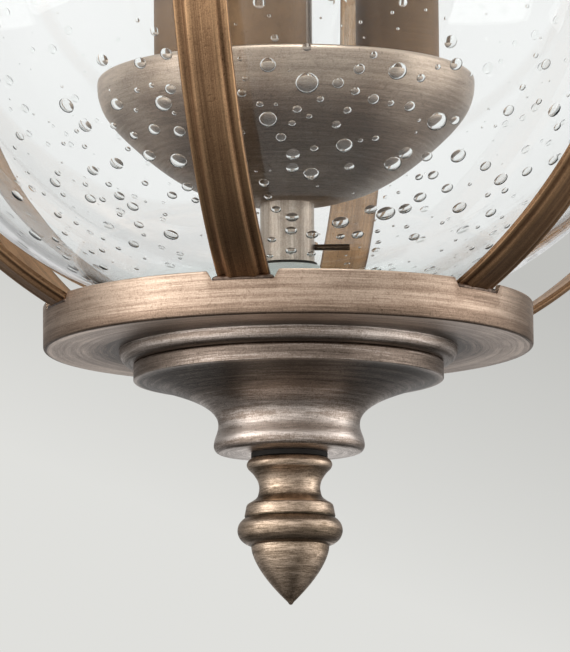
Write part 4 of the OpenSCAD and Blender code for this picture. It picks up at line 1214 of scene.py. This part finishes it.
# Wall plate: a spun canopy with a raised tier, held to the bracket behind it by two studs with
# domed cap nuts over soft washers. A turned flange closes round the arm where it leaves.
on_wall = Matrix.Rotation(math.pi / 2, 4, "X")
wall_bronze = burnished("wall_bronze", *bronze_tones, lines_round(on_wall))


def size_on_wall(name):
    """A CAD piece's radius, back and front in millimetres, measured from the wall."""
    low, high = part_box(name)
    return (high.x - low.x) / 2 / MM, -high.y / MM, -low.y / MM


plate_radius, plate_back, plate_front = size_on_wall("wall_plate")
tier_radius, step_height, plate_wall, plate_bore = 55.0, 13.2, 1.5, arm_radius + 0.3
inner_plate, inner_tier = plate_radius - plate_wall, tier_radius - plate_wall
inner_step = step_height - plate_wall
dress(lathe("burnished_wall_plate", rounded_outline([
    (plate_bore, plate_front, 0), (tier_radius, plate_front, 3.2), (tier_radius, step_height + 0.6, 0.5),
    (tier_radius + 1.2, step_height, 0.4), (plate_radius, step_height, 3.2), (plate_radius, plate_back, 0.5),
    (inner_plate, plate_back, 0), (inner_plate, inner_step, 2.0), (inner_tier, inner_step, 0.5),
    (inner_tier, plate_front - plate_wall, 2.0), (plate_bore, plate_front - plate_wall, 0)]), on_wall),
      wall_bronze, "burnished_bronze", "lantern", "wall_plate")
flange_radius, _, flange_front = size_on_wall("arm_flange")
flange_foot, flange_step, flange_lip = plate_front + 3.4, flange_radius - 3.4, cup_lip + 1.2
flange_side = rounded_outline([(arm_bore, plate_front, 0), (flange_radius, plate_front, 0.2),
                               (flange_radius, flange_foot, 1.6), (flange_step, flange_foot, 0)])[:-1]
flange_cove = flange_front - flange_foot - 1.0
flange_side += [(flange_step - (flange_step - flange_lip) * math.sin(a),
                 flange_foot + flange_cove * (1 - math.cos(a))) for a in round_from(0, 90, 14)]
flange_side += [(flange_lip, flange_front - 0.5), (cup_lip + 0.7, flange_front), (arm_bore, flange_front)]
dress(lathe("turned_arm_flange", flange_side, on_wall, around=128),
      wall_bronze, "burnished_bronze", "lantern", "arm_flange")
nut_radius, nut_foot, nut_top = size_on_wall("cap_nut_left")
nut_bore, nut_waist = 3.1, nut_radius - 1.3
nut_outline = rounded_outline([(nut_bore, nut_foot, 0), (nut_radius, nut_foot, 0.3),
                               (nut_radius, nut_foot + 2.2, 0.7), (nut_waist, nut_foot + 3.0, 0.4),
                               (nut_waist, nut_foot + 4.4, 0)])
nut_outline += [(nut_radius * math.cos(a), nut_top - nut_radius + nut_radius * math.sin(a))
                for a in round_from(-37, 127, 16)[:-1]]
nut_outline += [(0, nut_top), (0, nut_foot + 9), (nut_bore, nut_foot + 9)]
for side in ("left", "right"):
    low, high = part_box(f"cap_nut_{side}")
    at_stud = Matrix.Translation(((low.x + high.x) / 2, 0, 0)) @ on_wall
    nut_bronze = burnished(
        f"nut_bronze_{side}", (0.065, 0.052, 0.034), (0.32, 0.24, 0.175), (0.76, 0.60, 0.48),
        lines_round(at_stud, turns=3.0, fineness=2600.0), depth=0.8)
    dress(lathe(f"domed_cap_nut_{side}", nut_outline, at_stud, around=64), nut_bronze, "burnished_bronze",
          f"cap_nut_{side}", f"cap_nut_{side}")


# Behind the wall plate: a foam gasket, the zinc-plated bracket with its studs, the lock nut on
# the arm, a terminal block, a green earth screw and short black leads. They keep their CAD shape.
leads_black = plain_finish("leads_black", (0.03, 0.03, 0.03), 0.42, spread=0.3)
earth_green = plain_finish("earth_green", (0.07, 0.33, 0.12), 0.35, metal=0.6)
repaint(black_rubber, "wall_gasket", "nut_washer_left", "nut_washer_right")
repaint(zinc_plate, "mounting_bracket", "canopy_studs", "arm_lock_nut")
repaint(leads_black, "inner_leads")
repaint(earth_green, "earth_screw")
